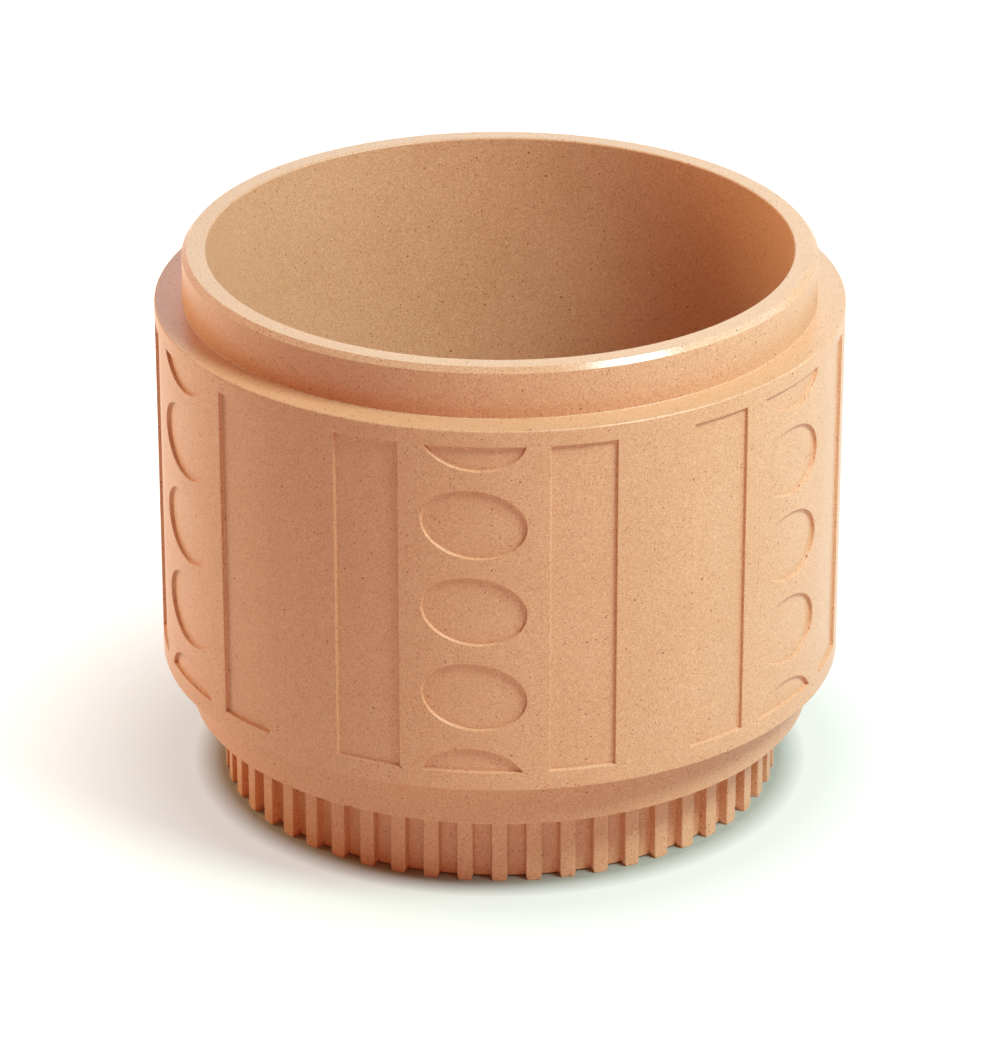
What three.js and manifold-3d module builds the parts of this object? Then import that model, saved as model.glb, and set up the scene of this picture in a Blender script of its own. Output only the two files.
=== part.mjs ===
// A double-walled plastic flower pot: a relief shell, a planting liner hung in it, and a ribbed foot.
// Millimetres, +Z up. The pot stands on z = 0, its axis is the Z axis, and its front faces -Y.
import * as THREE from 'three';
import { mergeVertices } from 'three/addons/utils/BufferGeometryUtils.js';
import Module from 'manifold-3d';

const wasm = await Module();
wasm.setup();

// Outside of the pot
const drumRadius = 100;
const drumHeight = 110.7;
const rimRadius = 91.75;
const rimWidth = 6.85;
const neckHeight = 15;
const plinthRadius = 91.6;
const plinthHeight = 15.1;
const footRadius = 82.4;
const footHeight = 23.2;

// Relief sunk into the drum
const motifCount = 6;
const reliefDepth = 1;
const reliefTopMargin = 4.9;
const reliefBottomMargin = 5.8;
const ovalWidth = 29.8;
const ovalHeight = 20.6;
const ovalPitch = 26.5;
const ovalLean = THREE.MathUtils.degToRad(7);
const ovalsPerColumn = 5;
const barWidth = 19;
const barTurn = THREE.MathUtils.degToRad(17.7);

// Ribbed foot
const ribCount = 52;
const ribWidth = 4.6;
const ribToeWidth = 3.9;
const ribToeHeight = 1.5;
const ribDepth = 2.75;
const ribTurn = THREE.MathUtils.degToRad(4.1);
const notchHeight = 0.4;
const footWall = 2.6;
const footFlangeThickness = 2.6;
const footFlangeReach = 9;

// Walls
const shellWall = 4;
const shoulderThickness = 2.6;
const spigotWall = 1.4;
const spigotHeight = 5;
const linerWall = 2.2;
const linerFloor = 2.6;
const linerDraft = THREE.MathUtils.degToRad(4);
const linerCorner = 6;
const rimThickness = 2.4;
const rimBevel = 1.5;
const rimInnerEdge = 0.6;
const shoulderEdge = 0.5;
const trayWall = 2.4;
const trayFloor = 2.6;
const traySkirtWall = 2;
const traySkirtHeight = 9;
const beadReach = 0.8;
const beadHeight = 1.2;
const beadRise = 4;
const reservoirHeight = 17;

// Drainage
const linerHoleRadius = 4;
const linerHoleMargin = 13;
const linerHoleRings = 2;
const outletRadius = 7;
const screenThickness = 2;
const screenHoleRadius = 3.5;
const screenHoleMargin = 16;
const screenHoleRings = 4;
const firstRingHoles = 6;
const screenFootHeight = 5.4;
const screenFootRadius = 4.5;
const screenFootCount = 6;
const screenFootRing = 3;

// Plug
const plugHeadRadius = 11;
const plugHeadThickness = 2.4;
const plugStemReach = 1.5;
const plugTabWidth = 10;
const plugTabThickness = 3;
const plugTabHeight = 5;

// Screws that hold the foot ring under the tray
const screwCount = 4;
const screwInset = 8.55;
const screwTurn = Math.PI / 4;
const screwShaftRadius = 1.75;
const screwLength = 12;
const screwHeadRadius = 3.5;
const screwHeadHeight = 2.2;
const screwSlotWidth = 1;
const screwSlotDepth = 1.1;
const bossWall = 2;
const bossCap = 1.5;

// Clearances
const seatGap = 0.3;
const sideGap = 0.4;
const screenGap = 1;
const drillOvershoot = 1;

// Facets
const roundSteps = 72;
const smallSteps = 12;
const holeSteps = 8;
const screenHoleSteps = 6;
const ovalSteps = 24;
const edgeSteps = 2;

// Heights that follow from the sizes above
const drumBottom = footHeight + plinthHeight;
const shoulderTop = drumBottom + drumHeight;
const rimTop = shoulderTop + neckHeight;
const trayFloorTop = footHeight + trayFloor;
const linerFloorBottom = trayFloorTop + reservoirHeight;
const linerFloorTop = linerFloorBottom + linerFloor;
const footTop = footHeight - seatGap;
const footFlangeBottom = footTop - footFlangeThickness;
const screwHeadTop = footFlangeBottom - seatGap;

// Radii that follow from the sizes above
const shellInside = drumRadius - shellWall;
const footWallOutside = footRadius - ribDepth;
const footWallInside = footWallOutside - footWall;
const screwCircle = footWallInside - screwInset;
const screwHoleRadius = screwShaftRadius + seatGap;

// Adds a quarter round to a profile, from one angle to another about a centre.
function arc(centreRadius, centreHeight, radius, from, to, steps = edgeSteps) {
  return Array.from({ length: steps + 1 }, (_, i) => {
    const angle = from + ((to - from) * i) / steps;
    return [centreRadius + radius * Math.cos(angle), centreHeight + radius * Math.sin(angle)];
  });
}

// Turns a geometry into a solid: only positions, shared vertices merged, no empty triangles.
function toSolid(geometry) {
  const bare = geometry.clone();
  for (const name of Object.keys(bare.attributes)) {
    if (name !== 'position') bare.deleteAttribute(name);
  }
  const merged = mergeVertices(bare, 1e-4);
  const corners = Array.from(merged.index.array);
  const triangles = [];
  for (let i = 0; i < corners.length; i += 3) {
    const [a, b, c] = corners.slice(i, i + 3);
    if (a !== b && b !== c && c !== a) triangles.push(a, b, c);
  }
  const vertProperties = new Float32Array(merged.attributes.position.array);
  const triVerts = new Uint32Array(triangles);
  return new wasm.Manifold(new wasm.Mesh({ numProp: 3, vertProperties, triVerts }));
}

// Turns a solid back into a geometry with flat-shaded faces.
function toGeometry(solid) {
  const mesh = solid.getMesh();
  const geometry = new THREE.BufferGeometry();
  geometry.setAttribute('position', new THREE.BufferAttribute(new Float32Array(mesh.vertProperties), 3));
  geometry.setIndex(new THREE.BufferAttribute(new Uint32Array(mesh.triVerts), 1));
  return geometry;
}

// Spins a profile of [radius, height] points about Z. Its outer side runs upwards.
function revolve(profile, steps = roundSteps) {
  const points = profile.map(([radius, height]) => new THREE.Vector2(radius, height));
  const geometry = new THREE.LatheGeometry(points, steps);
  geometry.rotateX(Math.PI / 2);
  return toSolid(geometry);
}

// Spins a profile that closes on itself.
function revolveRing(profile, steps = roundSteps) {
  return revolve([...profile, profile[0]], steps);
}

// Turns a solid about Z. A positive angle moves its front, which faces -Y, towards +X.
function turned(solid, angle) {
  return solid.rotate([0, 0, THREE.MathUtils.radToDeg(angle)]);
}

// An upright round bar between two heights.
function rod(radius, low, high, steps = smallSteps) {
  const geometry = new THREE.CylinderGeometry(radius, radius, high - low, steps);
  geometry.rotateX(Math.PI / 2);
  geometry.translate(0, 0, (low + high) / 2);
  return toSolid(geometry);
}

// Copies of a solid, spaced evenly round Z, as one solid.
function around(solid, count, start = 0) {
  const copies = Array.from({ length: count }, (_, i) => turned(solid, start + (2 * Math.PI * i) / count));
  return copies.reduce((sum, copy) => sum.add(copy));
}

// Copies of an upright bar, with their axes on a circle.
function rodCircle(bar, circle, count, start = 0) {
  return around(bar.translate([0, -circle, 0]), count, start);
}

// Drill bars at the centre and on rings out to a radius, with as many more bars on each ring.
function drillField(drill, outerCircle, rings) {
  let field = drill;
  for (let i = 1; i <= rings; i += 1) {
    field = field.add(rodCircle(drill, (outerCircle * i) / rings, firstRingHoles * i));
  }
  return field;
}

// Inner radius of the liner's drafted wall at a height.
function linerInsideAt(height) {
  return rimRadius - rimWidth - Math.tan(linerDraft) * (rimTop - height);
}

// A flat outline drawn in the plane of the front (across, up), pushed outwards from one radius to another.
function frontPrism(shape, innerRadius, outerRadius, steps) {
  const options = { depth: outerRadius - innerRadius, bevelEnabled: false, curveSegments: steps };
  const geometry = new THREE.ExtrudeGeometry(shape, options);
  geometry.rotateX(Math.PI / 2);
  geometry.translate(0, -innerRadius, 0);
  return toSolid(geometry);
}

// The recesses of one motif: a column of leaning ovals with a bar on each side of it.
function motifPrisms(low, high) {
  const innerRadius = shellInside;
  const outerRadius = drumRadius + shellWall;
  const middle = (low + high) / 2;
  const bar = new THREE.Shape();
  bar.moveTo(-barWidth / 2, low);
  bar.lineTo(barWidth / 2, low);
  bar.lineTo(barWidth / 2, high);
  bar.lineTo(-barWidth / 2, high);
  bar.closePath();
  const barPrism = frontPrism(bar, innerRadius, outerRadius, 1);
  let motif = turned(barPrism, barTurn).add(turned(barPrism, -barTurn));
  for (let i = 0; i < ovalsPerColumn; i += 1) {
    const oval = new THREE.Shape();
    const height = middle + (i - (ovalsPerColumn - 1) / 2) * ovalPitch;
    oval.absellipse(0, height, ovalWidth / 2, ovalHeight / 2, 0, 2 * Math.PI, false, -ovalLean);
    motif = motif.add(frontPrism(oval, innerRadius, outerRadius, ovalSteps / 2));
  }
  return motif;
}

// Drum and shoulder in one moulding, open below, with a spigot that centres the liner's skirt.
function makeReliefShell() {
  const spigotRadius = rimRadius - linerWall - sideGap;
  const grooveLow = drumBottom + beadRise - seatGap;
  const grooveHigh = drumBottom + beadRise + beadHeight + seatGap;
  const grooveRadius = shellInside + beadReach;
  const body = revolveRing([
    [shellInside, drumBottom],
    [drumRadius, drumBottom],
    ...arc(drumRadius - shoulderEdge, shoulderTop - shoulderEdge, shoulderEdge, 0, Math.PI / 2),
    [spigotRadius, shoulderTop],
    [spigotRadius, shoulderTop + spigotHeight],
    [spigotRadius - spigotWall, shoulderTop + spigotHeight],
    [spigotRadius - spigotWall, shoulderTop - shoulderThickness],
    [shellInside, shoulderTop - shoulderThickness],
    [shellInside, grooveHigh],
    [grooveRadius, grooveHigh],
    [grooveRadius, grooveLow],
    [shellInside, grooveLow],
  ]);
  const low = drumBottom + reliefBottomMargin;
  const high = shoulderTop - reliefTopMargin;
  const band = revolveRing([
    [drumRadius - reliefDepth, low],
    [drumRadius + reliefDepth, low],
    [drumRadius + reliefDepth, high],
    [drumRadius - reliefDepth, high],
  ]);
  const motifs = around(motifPrisms(low, high), motifCount);
  return body.subtract(motifs.intersect(band));
}

// Rim, neck skirt, inner wall and drained floor in one moulding. It hangs on the shell's shoulder.
function makePlantingLiner() {
  const insideTop = linerInsideAt(rimTop);
  const skirtBottom = shoulderTop + seatGap;
  const rimUnder = rimTop - rimThickness;
  const cornerRadius = linerInsideAt(linerFloorTop + linerCorner) - linerCorner;
  const outerCorner = linerCorner + linerFloor;
  const body = revolve([
    [0, linerFloorBottom],
    ...arc(cornerRadius, linerFloorTop + linerCorner, outerCorner, -Math.PI / 2, -linerDraft),
    [linerInsideAt(rimUnder) + linerWall, rimUnder],
    [rimRadius - linerWall, rimUnder],
    [rimRadius - linerWall, skirtBottom],
    [rimRadius, skirtBottom],
    [rimRadius, rimTop - rimBevel],
    [rimRadius - rimBevel, rimTop],
    ...arc(insideTop + rimInnerEdge, rimTop - rimInnerEdge, rimInnerEdge, Math.PI / 2, Math.PI),
    ...arc(cornerRadius, linerFloorTop + linerCorner, linerCorner, -linerDraft, -Math.PI / 2),
    [0, linerFloorTop],
  ]);
  const drillLow = linerFloorBottom - drillOvershoot;
  const drill = rod(linerHoleRadius, drillLow, linerFloorTop + drillOvershoot, holeSteps);
  return body.subtract(drillField(drill, cornerRadius - linerHoleMargin, linerHoleRings));
}

// Loose grid on short feet that keeps the soil off the liner's floor. Each foot fills the place of a hole.
function makeRootScreen() {
  const feetBottom = linerFloorTop + seatGap;
  const plateLow = feetBottom + screenFootHeight;
  const plateHigh = plateLow + screenThickness;
  const plateRadius = linerInsideAt(plateLow) - screenGap;
  const outerCircle = plateRadius - screenHoleMargin;
  const footCircle = (outerCircle * screenFootRing) / screenHoleRings;
  const plate = rod(plateRadius, plateLow, plateHigh, roundSteps / 2);
  const foot = rod(screenFootRadius, feetBottom, plateHigh);
  const drill = rod(screenHoleRadius, plateLow - drillOvershoot, plateHigh + drillOvershoot, screenHoleSteps);
  const feet = rodCircle(foot, footCircle, screenFootCount);
  return plate.subtract(drillField(drill, outerCircle, screenHoleRings)).add(feet);
}

// Plinth band and floor in one moulding. Its skirt snaps into the foot of the shell.
function makeBaseTray() {
  const flangeRadius = shellInside - sideGap;
  const beadRadius = flangeRadius + beadReach;
  const beadLow = drumBottom + beadRise;
  const beadHigh = beadLow + beadHeight;
  const skirtTop = drumBottom + traySkirtHeight;
  const flangeTop = drumBottom + trayWall;
  const body = revolveRing([
    [outletRadius, footHeight],
    [plinthRadius, footHeight],
    [plinthRadius, drumBottom],
    [flangeRadius, drumBottom],
    [flangeRadius, beadLow],
    [beadRadius, beadLow],
    [beadRadius, beadHigh],
    [flangeRadius, beadHigh],
    [flangeRadius, skirtTop],
    [flangeRadius - traySkirtWall, skirtTop],
    [flangeRadius - traySkirtWall, flangeTop],
    [plinthRadius - trayWall, flangeTop],
    [plinthRadius - trayWall, trayFloorTop],
    [outletRadius, trayFloorTop],
  ]);
  const screwTip = screwHeadTop + screwLength;
  const boss = rod(screwHoleRadius + bossWall, trayFloorTop - trayFloor / 2, screwTip + seatGap + bossCap);
  const drill = rod(screwHoleRadius, footHeight - drillOvershoot, screwTip + seatGap);
  const bosses = rodCircle(boss, screwCircle, screwCount, screwTurn);
  return body.add(bosses).subtract(rodCircle(drill, screwCircle, screwCount, screwTurn));
}

// Ring with upright ribs. The ribs stand on the floor and the wall between them stops short of it.
function makeFootRing() {
  const ring = revolveRing([
    [footWallInside, notchHeight],
    [footWallOutside, notchHeight],
    [footWallOutside, footTop],
    [screwCircle - footFlangeReach, footTop],
    [screwCircle - footFlangeReach, footFlangeBottom],
    [footWallInside, footFlangeBottom],
  ], ribCount);
  const rib = new THREE.Shape();
  rib.moveTo(-ribToeWidth / 2, 0);
  rib.lineTo(ribToeWidth / 2, 0);
  rib.lineTo(ribWidth / 2, ribToeHeight);
  rib.lineTo(ribWidth / 2, footTop);
  rib.lineTo(-ribWidth / 2, footTop);
  rib.lineTo(-ribWidth / 2, ribToeHeight);
  rib.closePath();
  const ribs = around(frontPrism(rib, footWallInside, footRadius, 1), ribCount, ribTurn);
  const drill = rod(screwHoleRadius, footFlangeBottom - drillOvershoot, footTop + drillOvershoot);
  return ring.add(ribs).subtract(rodCircle(drill, screwCircle, screwCount, screwTurn));
}

// Rubber stopper with a pull tab, pushed into the tray's outlet from inside.
function makeDrainPlug() {
  const stemRadius = outletRadius - seatGap;
  const headLow = trayFloorTop + seatGap;
  const headHigh = headLow + plugHeadThickness;
  const stem = revolve([
    [0, footHeight - plugStemReach],
    [stemRadius - plugStemReach / 2, footHeight - plugStemReach],
    [stemRadius, footHeight],
    [stemRadius, headLow],
    [plugHeadRadius, headLow],
    [plugHeadRadius, headHigh - plugHeadThickness / 3],
    [plugHeadRadius - plugHeadThickness / 3, headHigh],
    [0, headHigh],
  ], smallSteps * 2);
  const tab = new THREE.BoxGeometry(plugTabWidth, plugTabThickness, plugTabHeight + plugHeadThickness / 2);
  tab.translate(0, 0, headHigh + plugTabHeight / 2 - plugHeadThickness / 4);
  return stem.add(toSolid(tab));
}

// Pan-head screw with a cross slot, upright, with its head below.
function makeFootScrew() {
  const headLow = screwHeadTop - screwHeadHeight;
  const bevel = screwHeadHeight / 3;
  const body = revolve([
    [0, headLow],
    [screwHeadRadius - bevel, headLow],
    [screwHeadRadius, headLow + bevel],
    [screwHeadRadius, screwHeadTop],
    [screwShaftRadius, screwHeadTop],
    [screwShaftRadius, screwHeadTop + screwLength - screwShaftRadius],
    [0, screwHeadTop + screwLength],
  ], smallSteps);
  const slotLength = screwHeadRadius * 1.2;
  const slot = new THREE.BoxGeometry(slotLength, screwSlotWidth, screwSlotDepth * 2);
  slot.translate(0, 0, headLow);
  const across = toSolid(slot);
  return body.subtract(across.add(across.rotate([0, 0, 90])));
}

const terracotta = new THREE.MeshStandardMaterial({ color: 0xd9a07a, roughness: 0.55, metalness: 0 });
const innerPlastic = new THREE.MeshStandardMaterial({ color: 0xb87a58, roughness: 0.6, metalness: 0 });
const darkRubber = new THREE.MeshStandardMaterial({ color: 0x3a3a3c, roughness: 0.8, metalness: 0 });
const steel = new THREE.MeshStandardMaterial({ color: 0xb8b8ba, roughness: 0.35, metalness: 1 });

const pot = new THREE.Group();

// Adds a named piece to the pot.
function addPiece(name, solid, material) {
  const mesh = new THREE.Mesh(toGeometry(solid), material);
  mesh.name = name;
  pot.add(mesh);
  return mesh;
}

addPiece('relief_shell', makeReliefShell(), terracotta);
addPiece('planting_liner', makePlantingLiner(), terracotta);
addPiece('base_tray', makeBaseTray(), terracotta);
addPiece('foot_ring', makeFootRing(), terracotta);
addPiece('root_screen', makeRootScreen(), innerPlastic);
addPiece('drain_plug', makeDrainPlug(), darkRubber);

const footScrew = makeFootScrew().translate([0, -screwCircle, 0]);
for (let i = 0; i < screwCount; i += 1) {
  const angle = screwTurn + (2 * Math.PI * i) / screwCount;
  addPiece(`foot_screw_${i + 1}`, turned(footScrew, angle), steel);
}

export default pot;
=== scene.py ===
"""A double-walled plastic flower pot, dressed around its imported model.

Lengths are metres in the model's own frame: +Z is up, the front of the pot faces -Y and the floor is
z = 0. An angle round the pot is counted from its front, positive towards +X.
"""

import logging
import math
from collections.abc import Sequence
from dataclasses import dataclass, field
from enum import Enum

import bmesh
import bpy
import numpy as np
from mathutils import Euler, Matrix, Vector


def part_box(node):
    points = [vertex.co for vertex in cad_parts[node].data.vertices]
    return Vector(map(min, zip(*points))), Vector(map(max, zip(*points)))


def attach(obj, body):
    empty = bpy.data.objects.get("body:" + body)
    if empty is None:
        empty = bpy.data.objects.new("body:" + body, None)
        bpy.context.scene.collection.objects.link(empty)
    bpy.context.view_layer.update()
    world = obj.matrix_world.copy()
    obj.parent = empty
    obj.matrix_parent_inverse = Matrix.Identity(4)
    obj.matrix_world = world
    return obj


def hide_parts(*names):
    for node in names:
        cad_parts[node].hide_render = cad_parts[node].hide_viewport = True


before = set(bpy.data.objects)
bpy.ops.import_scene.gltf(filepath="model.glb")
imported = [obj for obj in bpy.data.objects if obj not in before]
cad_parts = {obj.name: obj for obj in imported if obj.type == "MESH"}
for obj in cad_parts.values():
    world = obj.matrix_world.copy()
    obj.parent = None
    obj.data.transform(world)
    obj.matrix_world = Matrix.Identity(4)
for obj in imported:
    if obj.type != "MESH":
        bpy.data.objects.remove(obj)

LOG = logging.getLogger("flower_pot")
TURN = 2 * math.pi
RIGHT_ANGLE = math.pi / 2
MM = 0.001

# Radii of moulded edges, from the sharpest to the roundest.
CRISP = 0.15 * MM
SLIGHT = 0.2 * MM
SOFT = 0.3 * MM
EASED = 0.4 * MM
HALF = 0.5 * MM
FULL = 0.6 * MM
DEEP = 0.8 * MM

WELD = 2e-6  # Points of a piece that are closer than this become one.
SEAM = 1e-6  # A profile stops this short of a grid that it meets, and is welded to it.
SAME = 1e-7  # Heights closer than this are one row.
NO_LENGTH = 1e-9
STRAIGHT = 0.9999  # Cosine past which two sides are one line.

WHITE = (1.0, 1.0, 1.0)

Colour = tuple[float, float, float]
Socket = bpy.types.NodeSocket
Input = Socket | float | tuple[float, ...]
Cell = tuple[np.ndarray, np.ndarray]


class Closed(Enum):
    """Whether the columns of a grid of points join up with their own start."""

    NONE = "none"
    ROUND = "round"


class Body(Enum):
    """The bodies of the model that a piece can ride on."""

    POT = "outer_pot"
    LINER = "liner"
    SCREEN = "screen"
    PLUG = "plug"


def polar(radius: np.ndarray, angle: np.ndarray, height: np.ndarray) -> np.ndarray:
    """Places points by radius, angle and height.

    The point is (radius times sin angle, minus radius times cos angle, height), so angle 0 is the front.

    Args:
        radius: Distances from the axis.
        angle: Angles from the front, in radians.
        height: Heights.

    Returns:
        The points, with the coordinates in the last direction.
    """
    radius, angle, height = np.broadcast_arrays(radius, angle, height)
    return np.stack([radius * np.sin(angle), -radius * np.cos(angle), height], axis=-1)


def spin(points: np.ndarray, turns: np.ndarray) -> np.ndarray:
    """Copies points round the Z axis, each copy turned by one of the angles.

    Args:
        points: Points of any layout, with the coordinates in the last direction.
        turns: The angles of the copies, in radians.

    Returns:
        The copies, with one more direction in front.
    """
    turns = np.asarray(turns, float).reshape((-1,) + (1,) * (points.ndim - 1))
    x, y = points[..., 0], points[..., 1]
    turned_x = x * np.cos(turns) - y * np.sin(turns)
    turned_y = x * np.sin(turns) + y * np.cos(turns)
    return np.stack([turned_x, turned_y, np.broadcast_to(points[..., 2], turned_x.shape)], axis=-1)


def blend(start: np.ndarray, end: np.ndarray, shares: np.ndarray) -> np.ndarray:
    """Rows of points between two rows: start times (1 - share) plus end times share.

    Args:
        start: The first row.
        end: The last row, or one point.
        shares: A share for each row that is wanted.

    Returns:
        The rows, in a new first direction.
    """
    shares = np.asarray(shares, float).reshape((-1,) + (1,) * start.ndim)
    return start * (1 - shares) + end * shares


def round_corners(corners: Sequence[Sequence[float]], steps: int = 4) -> np.ndarray:
    """Rounds the corners of an outline with arcs.

    At each corner the arc's centre lies on the bisector, at radius over the sine of the half angle, and
    the arc runs between the two points where the circle touches the sides.

    Args:
        corners: Each corner's two coordinates and its radius, in order. Radius 0 leaves it sharp, as
            the two ends of an open line have to be.
        steps: Stretches in each arc.

    Returns:
        The points of the rounded outline.
    """
    table = np.array(corners, float)
    corner, radii = table[:, :2], table[:, 2:]
    back = np.roll(corner, 1, axis=0) - corner
    ahead = np.roll(corner, -1, axis=0) - corner
    back = back / np.linalg.norm(back, axis=1, keepdims=True)
    ahead = ahead / np.linalg.norm(ahead, axis=1, keepdims=True)
    half = np.arccos(np.clip(np.sum(back * ahead, axis=1, keepdims=True), -STRAIGHT, STRAIGHT)) / 2
    bisector = back + ahead
    bisector = bisector / np.maximum(np.linalg.norm(bisector, axis=1, keepdims=True), NO_LENGTH)
    centre = corner + bisector * radii / np.sin(half)
    reach = radii / np.tan(half)
    sweep = (math.pi - 2 * half)[None]
    shares = np.linspace(0, 1, steps + 1)[:, None, None]
    first = (corner + back * reach - centre)[None]
    last = (corner + ahead * reach - centre)[None]
    arcs = centre + (np.sin((1 - shares) * sweep) * first + np.sin(shares * sweep) * last) / np.sin(sweep)
    points = arcs.transpose(1, 0, 2).reshape(-1, 2)
    apart = np.linalg.norm(np.diff(points, axis=0), axis=1) > NO_LENGTH
    return points[np.concatenate([[True], apart])]


def mitres(outline: np.ndarray) -> np.ndarray:
    """Inward steps at each point of a closed outline that runs anticlockwise.

    The step is the sum of the two sides' inward normals over one plus their dot product, so that moving
    every point by the same multiple of its step keeps the sides parallel.

    Args:
        outline: The outline's points.

    Returns:
        One step for each point.
    """
    side = np.roll(outline, -1, axis=0) - outline
    normal = np.stack([-side[:, 1], side[:, 0]], axis=1)
    normal = normal / np.linalg.norm(normal, axis=1, keepdims=True)
    before = np.roll(normal, 1, axis=0)
    return (normal + before) / (1 + np.sum(normal * before, axis=1, keepdims=True))


def lathe(profile: np.ndarray, angles: np.ndarray) -> np.ndarray:
    """Carries a profile of (radius, height) points round the axis.

    Args:
        profile: The profile's points.
        angles: The angles at which it stands.

    Returns:
        A grid of points: profile by angle.
    """
    return polar(profile[:, 0, None], angles[None, :], profile[:, 1, None])


def even_angles(count: int) -> np.ndarray:
    """Angles spaced evenly round the whole turn, starting at the front."""
    return np.arange(count) * TURN / count


@dataclass(frozen=True)
class Section:
    """The section across the edge of a sunk or raised field: lip, drafted wall and toe.

    Attributes:
        depth: From the land to the floor of the field.
        lip: Radius where the land turns into the wall.
        toe: Radius where the wall turns into the floor.
        draft: Lean of the wall, in radians.
        steps: Stretches in each of the two arcs.
    """

    depth: float
    lip: float
    toe: float
    draft: float = 0.0
    steps: int = 3

    def points(self) -> np.ndarray:
        """Inset from the outline, and depth, across the edge.

        The lip is a quarter round that ends on the outline, the toe one that starts where the drafted
        wall ends.

        Returns:
            Pairs of inset and depth.
        """
        turn = np.linspace(0, RIGHT_ANGLE, self.steps + 1)
        lip = np.stack([self.lip * (np.sin(turn) - 1), self.lip * (1 - np.cos(turn))], axis=1)
        run = (self.depth - self.lip - self.toe) * math.tan(self.draft)
        toe_depth = self.depth - self.toe + self.toe * np.sin(turn)
        toe = np.stack([run + self.toe * (1 - np.cos(turn)), toe_depth], axis=1)
        return np.concatenate([lip, toe])


def field_cell(loop: np.ndarray, outline: np.ndarray, section: Section, middle: np.ndarray,
               land_steps: int = 2, floor_steps: int = 5) -> Cell:
    """Rings from a cell's border to the middle of the sunk or raised field in it.

    The rings are, from outside: the border drawn in evenly to the lip, the section's points as offsets
    of the outline, and the toe drawn in evenly to the middle.

    Args:
        loop: The cell's border, anticlockwise.
        outline: The field's outline, with one point for each point of the border.
        section: The section across the field's edge.
        middle: A point in the field.
        land_steps: Rings on the land.
        floor_steps: Rings on the floor.

    Returns:
        The flat points (ring by point) and the depth of each ring.
    """
    across = section.points()
    edge = outline[None] + across[:, 0, None, None] * mitres(outline)[None]
    land = blend(loop, edge[0], np.linspace(0, 1, land_steps + 1)[:-1])
    floor = blend(edge[-1], middle, np.linspace(0, 1, floor_steps + 1)[1:])
    depth = np.concatenate([np.zeros(land_steps), across[:, 1], np.full(floor_steps, section.depth)])
    return np.concatenate([land, edge, floor]), depth


def hole_cell(loop: np.ndarray, outline: np.ndarray, thickness: float, lip: float,
              land_steps: int = 2, steps: int = 3) -> Cell:
    """Rings from a cell's border on the upper face, down a hole, to its border on the lower face.

    Args:
        loop: The cell's border, anticlockwise.
        outline: The hole's outline, with one point for each point of the border.
        thickness: Thickness of the plate.
        lip: Radius of the hole's two edges.
        land_steps: Rings on each face.
        steps: Stretches in each edge's arc.

    Returns:
        The flat points (ring by point) and the depth of each ring.
    """
    turn = np.linspace(0, RIGHT_ANGLE, steps + 1)
    inset = lip * (np.sin(turn) - 1)
    down = lip * (1 - np.cos(turn))
    insets = np.concatenate([inset, inset[::-1]])
    edge = outline[None] + insets[:, None, None] * mitres(outline)[None]
    land = blend(loop, edge[0], np.linspace(0, 1, land_steps + 1)[:-1])
    level = np.zeros(land_steps)
    depth = np.concatenate([level, down, thickness - down[::-1], level + thickness])
    return np.concatenate([land, edge, land[::-1]]), depth


def plate_points(cell: Cell, top: float, way: float = -1) -> np.ndarray:
    """Places a flat cell in a level plate.

    Args:
        cell: Flat points and depths.
        top: Height of the face that the depth is counted from.
        way: -1 where the depth goes down, 1 where it goes up.

    Returns:
        The points in space.
    """
    flat, depth = cell
    height = np.broadcast_to((top + way * depth)[:, None], flat.shape[:2])
    return np.concatenate([flat, height[..., None]], axis=-1)


def ring_outline(loop: np.ndarray, middle: np.ndarray, radius: float) -> np.ndarray:
    """A circle with one point for each point of a border, on the ray from the middle to that point."""
    ray = loop - middle
    return middle + radius * ray / np.linalg.norm(ray, axis=1, keepdims=True)


def line(across: np.ndarray, up: np.ndarray) -> np.ndarray:
    """Flat points, of which one coordinate may be the same for all."""
    return np.stack(np.broadcast_arrays(across, up), axis=1)


def sector_loop(inner: float, outer: float, angles: np.ndarray, radial_steps: int) -> np.ndarray:
    """The border of a ring's sector, anticlockwise from above, in x and y.

    Args:
        inner: The sector's inner radius.
        outer: Its outer radius.
        angles: The angles of its columns.
        radial_steps: Stretches along each straight side.

    Returns:
        The border's points.
    """
    radii = np.linspace(inner, outer, radial_steps + 1)
    sides = ((outer, angles[:-1]), (radii[:0:-1], angles[-1]),
             (inner, angles[:0:-1]), (radii[:-1], angles[0]))
    return np.concatenate([polar(radius, angle, 0.0)[:, :2] for radius, angle in sides])


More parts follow.
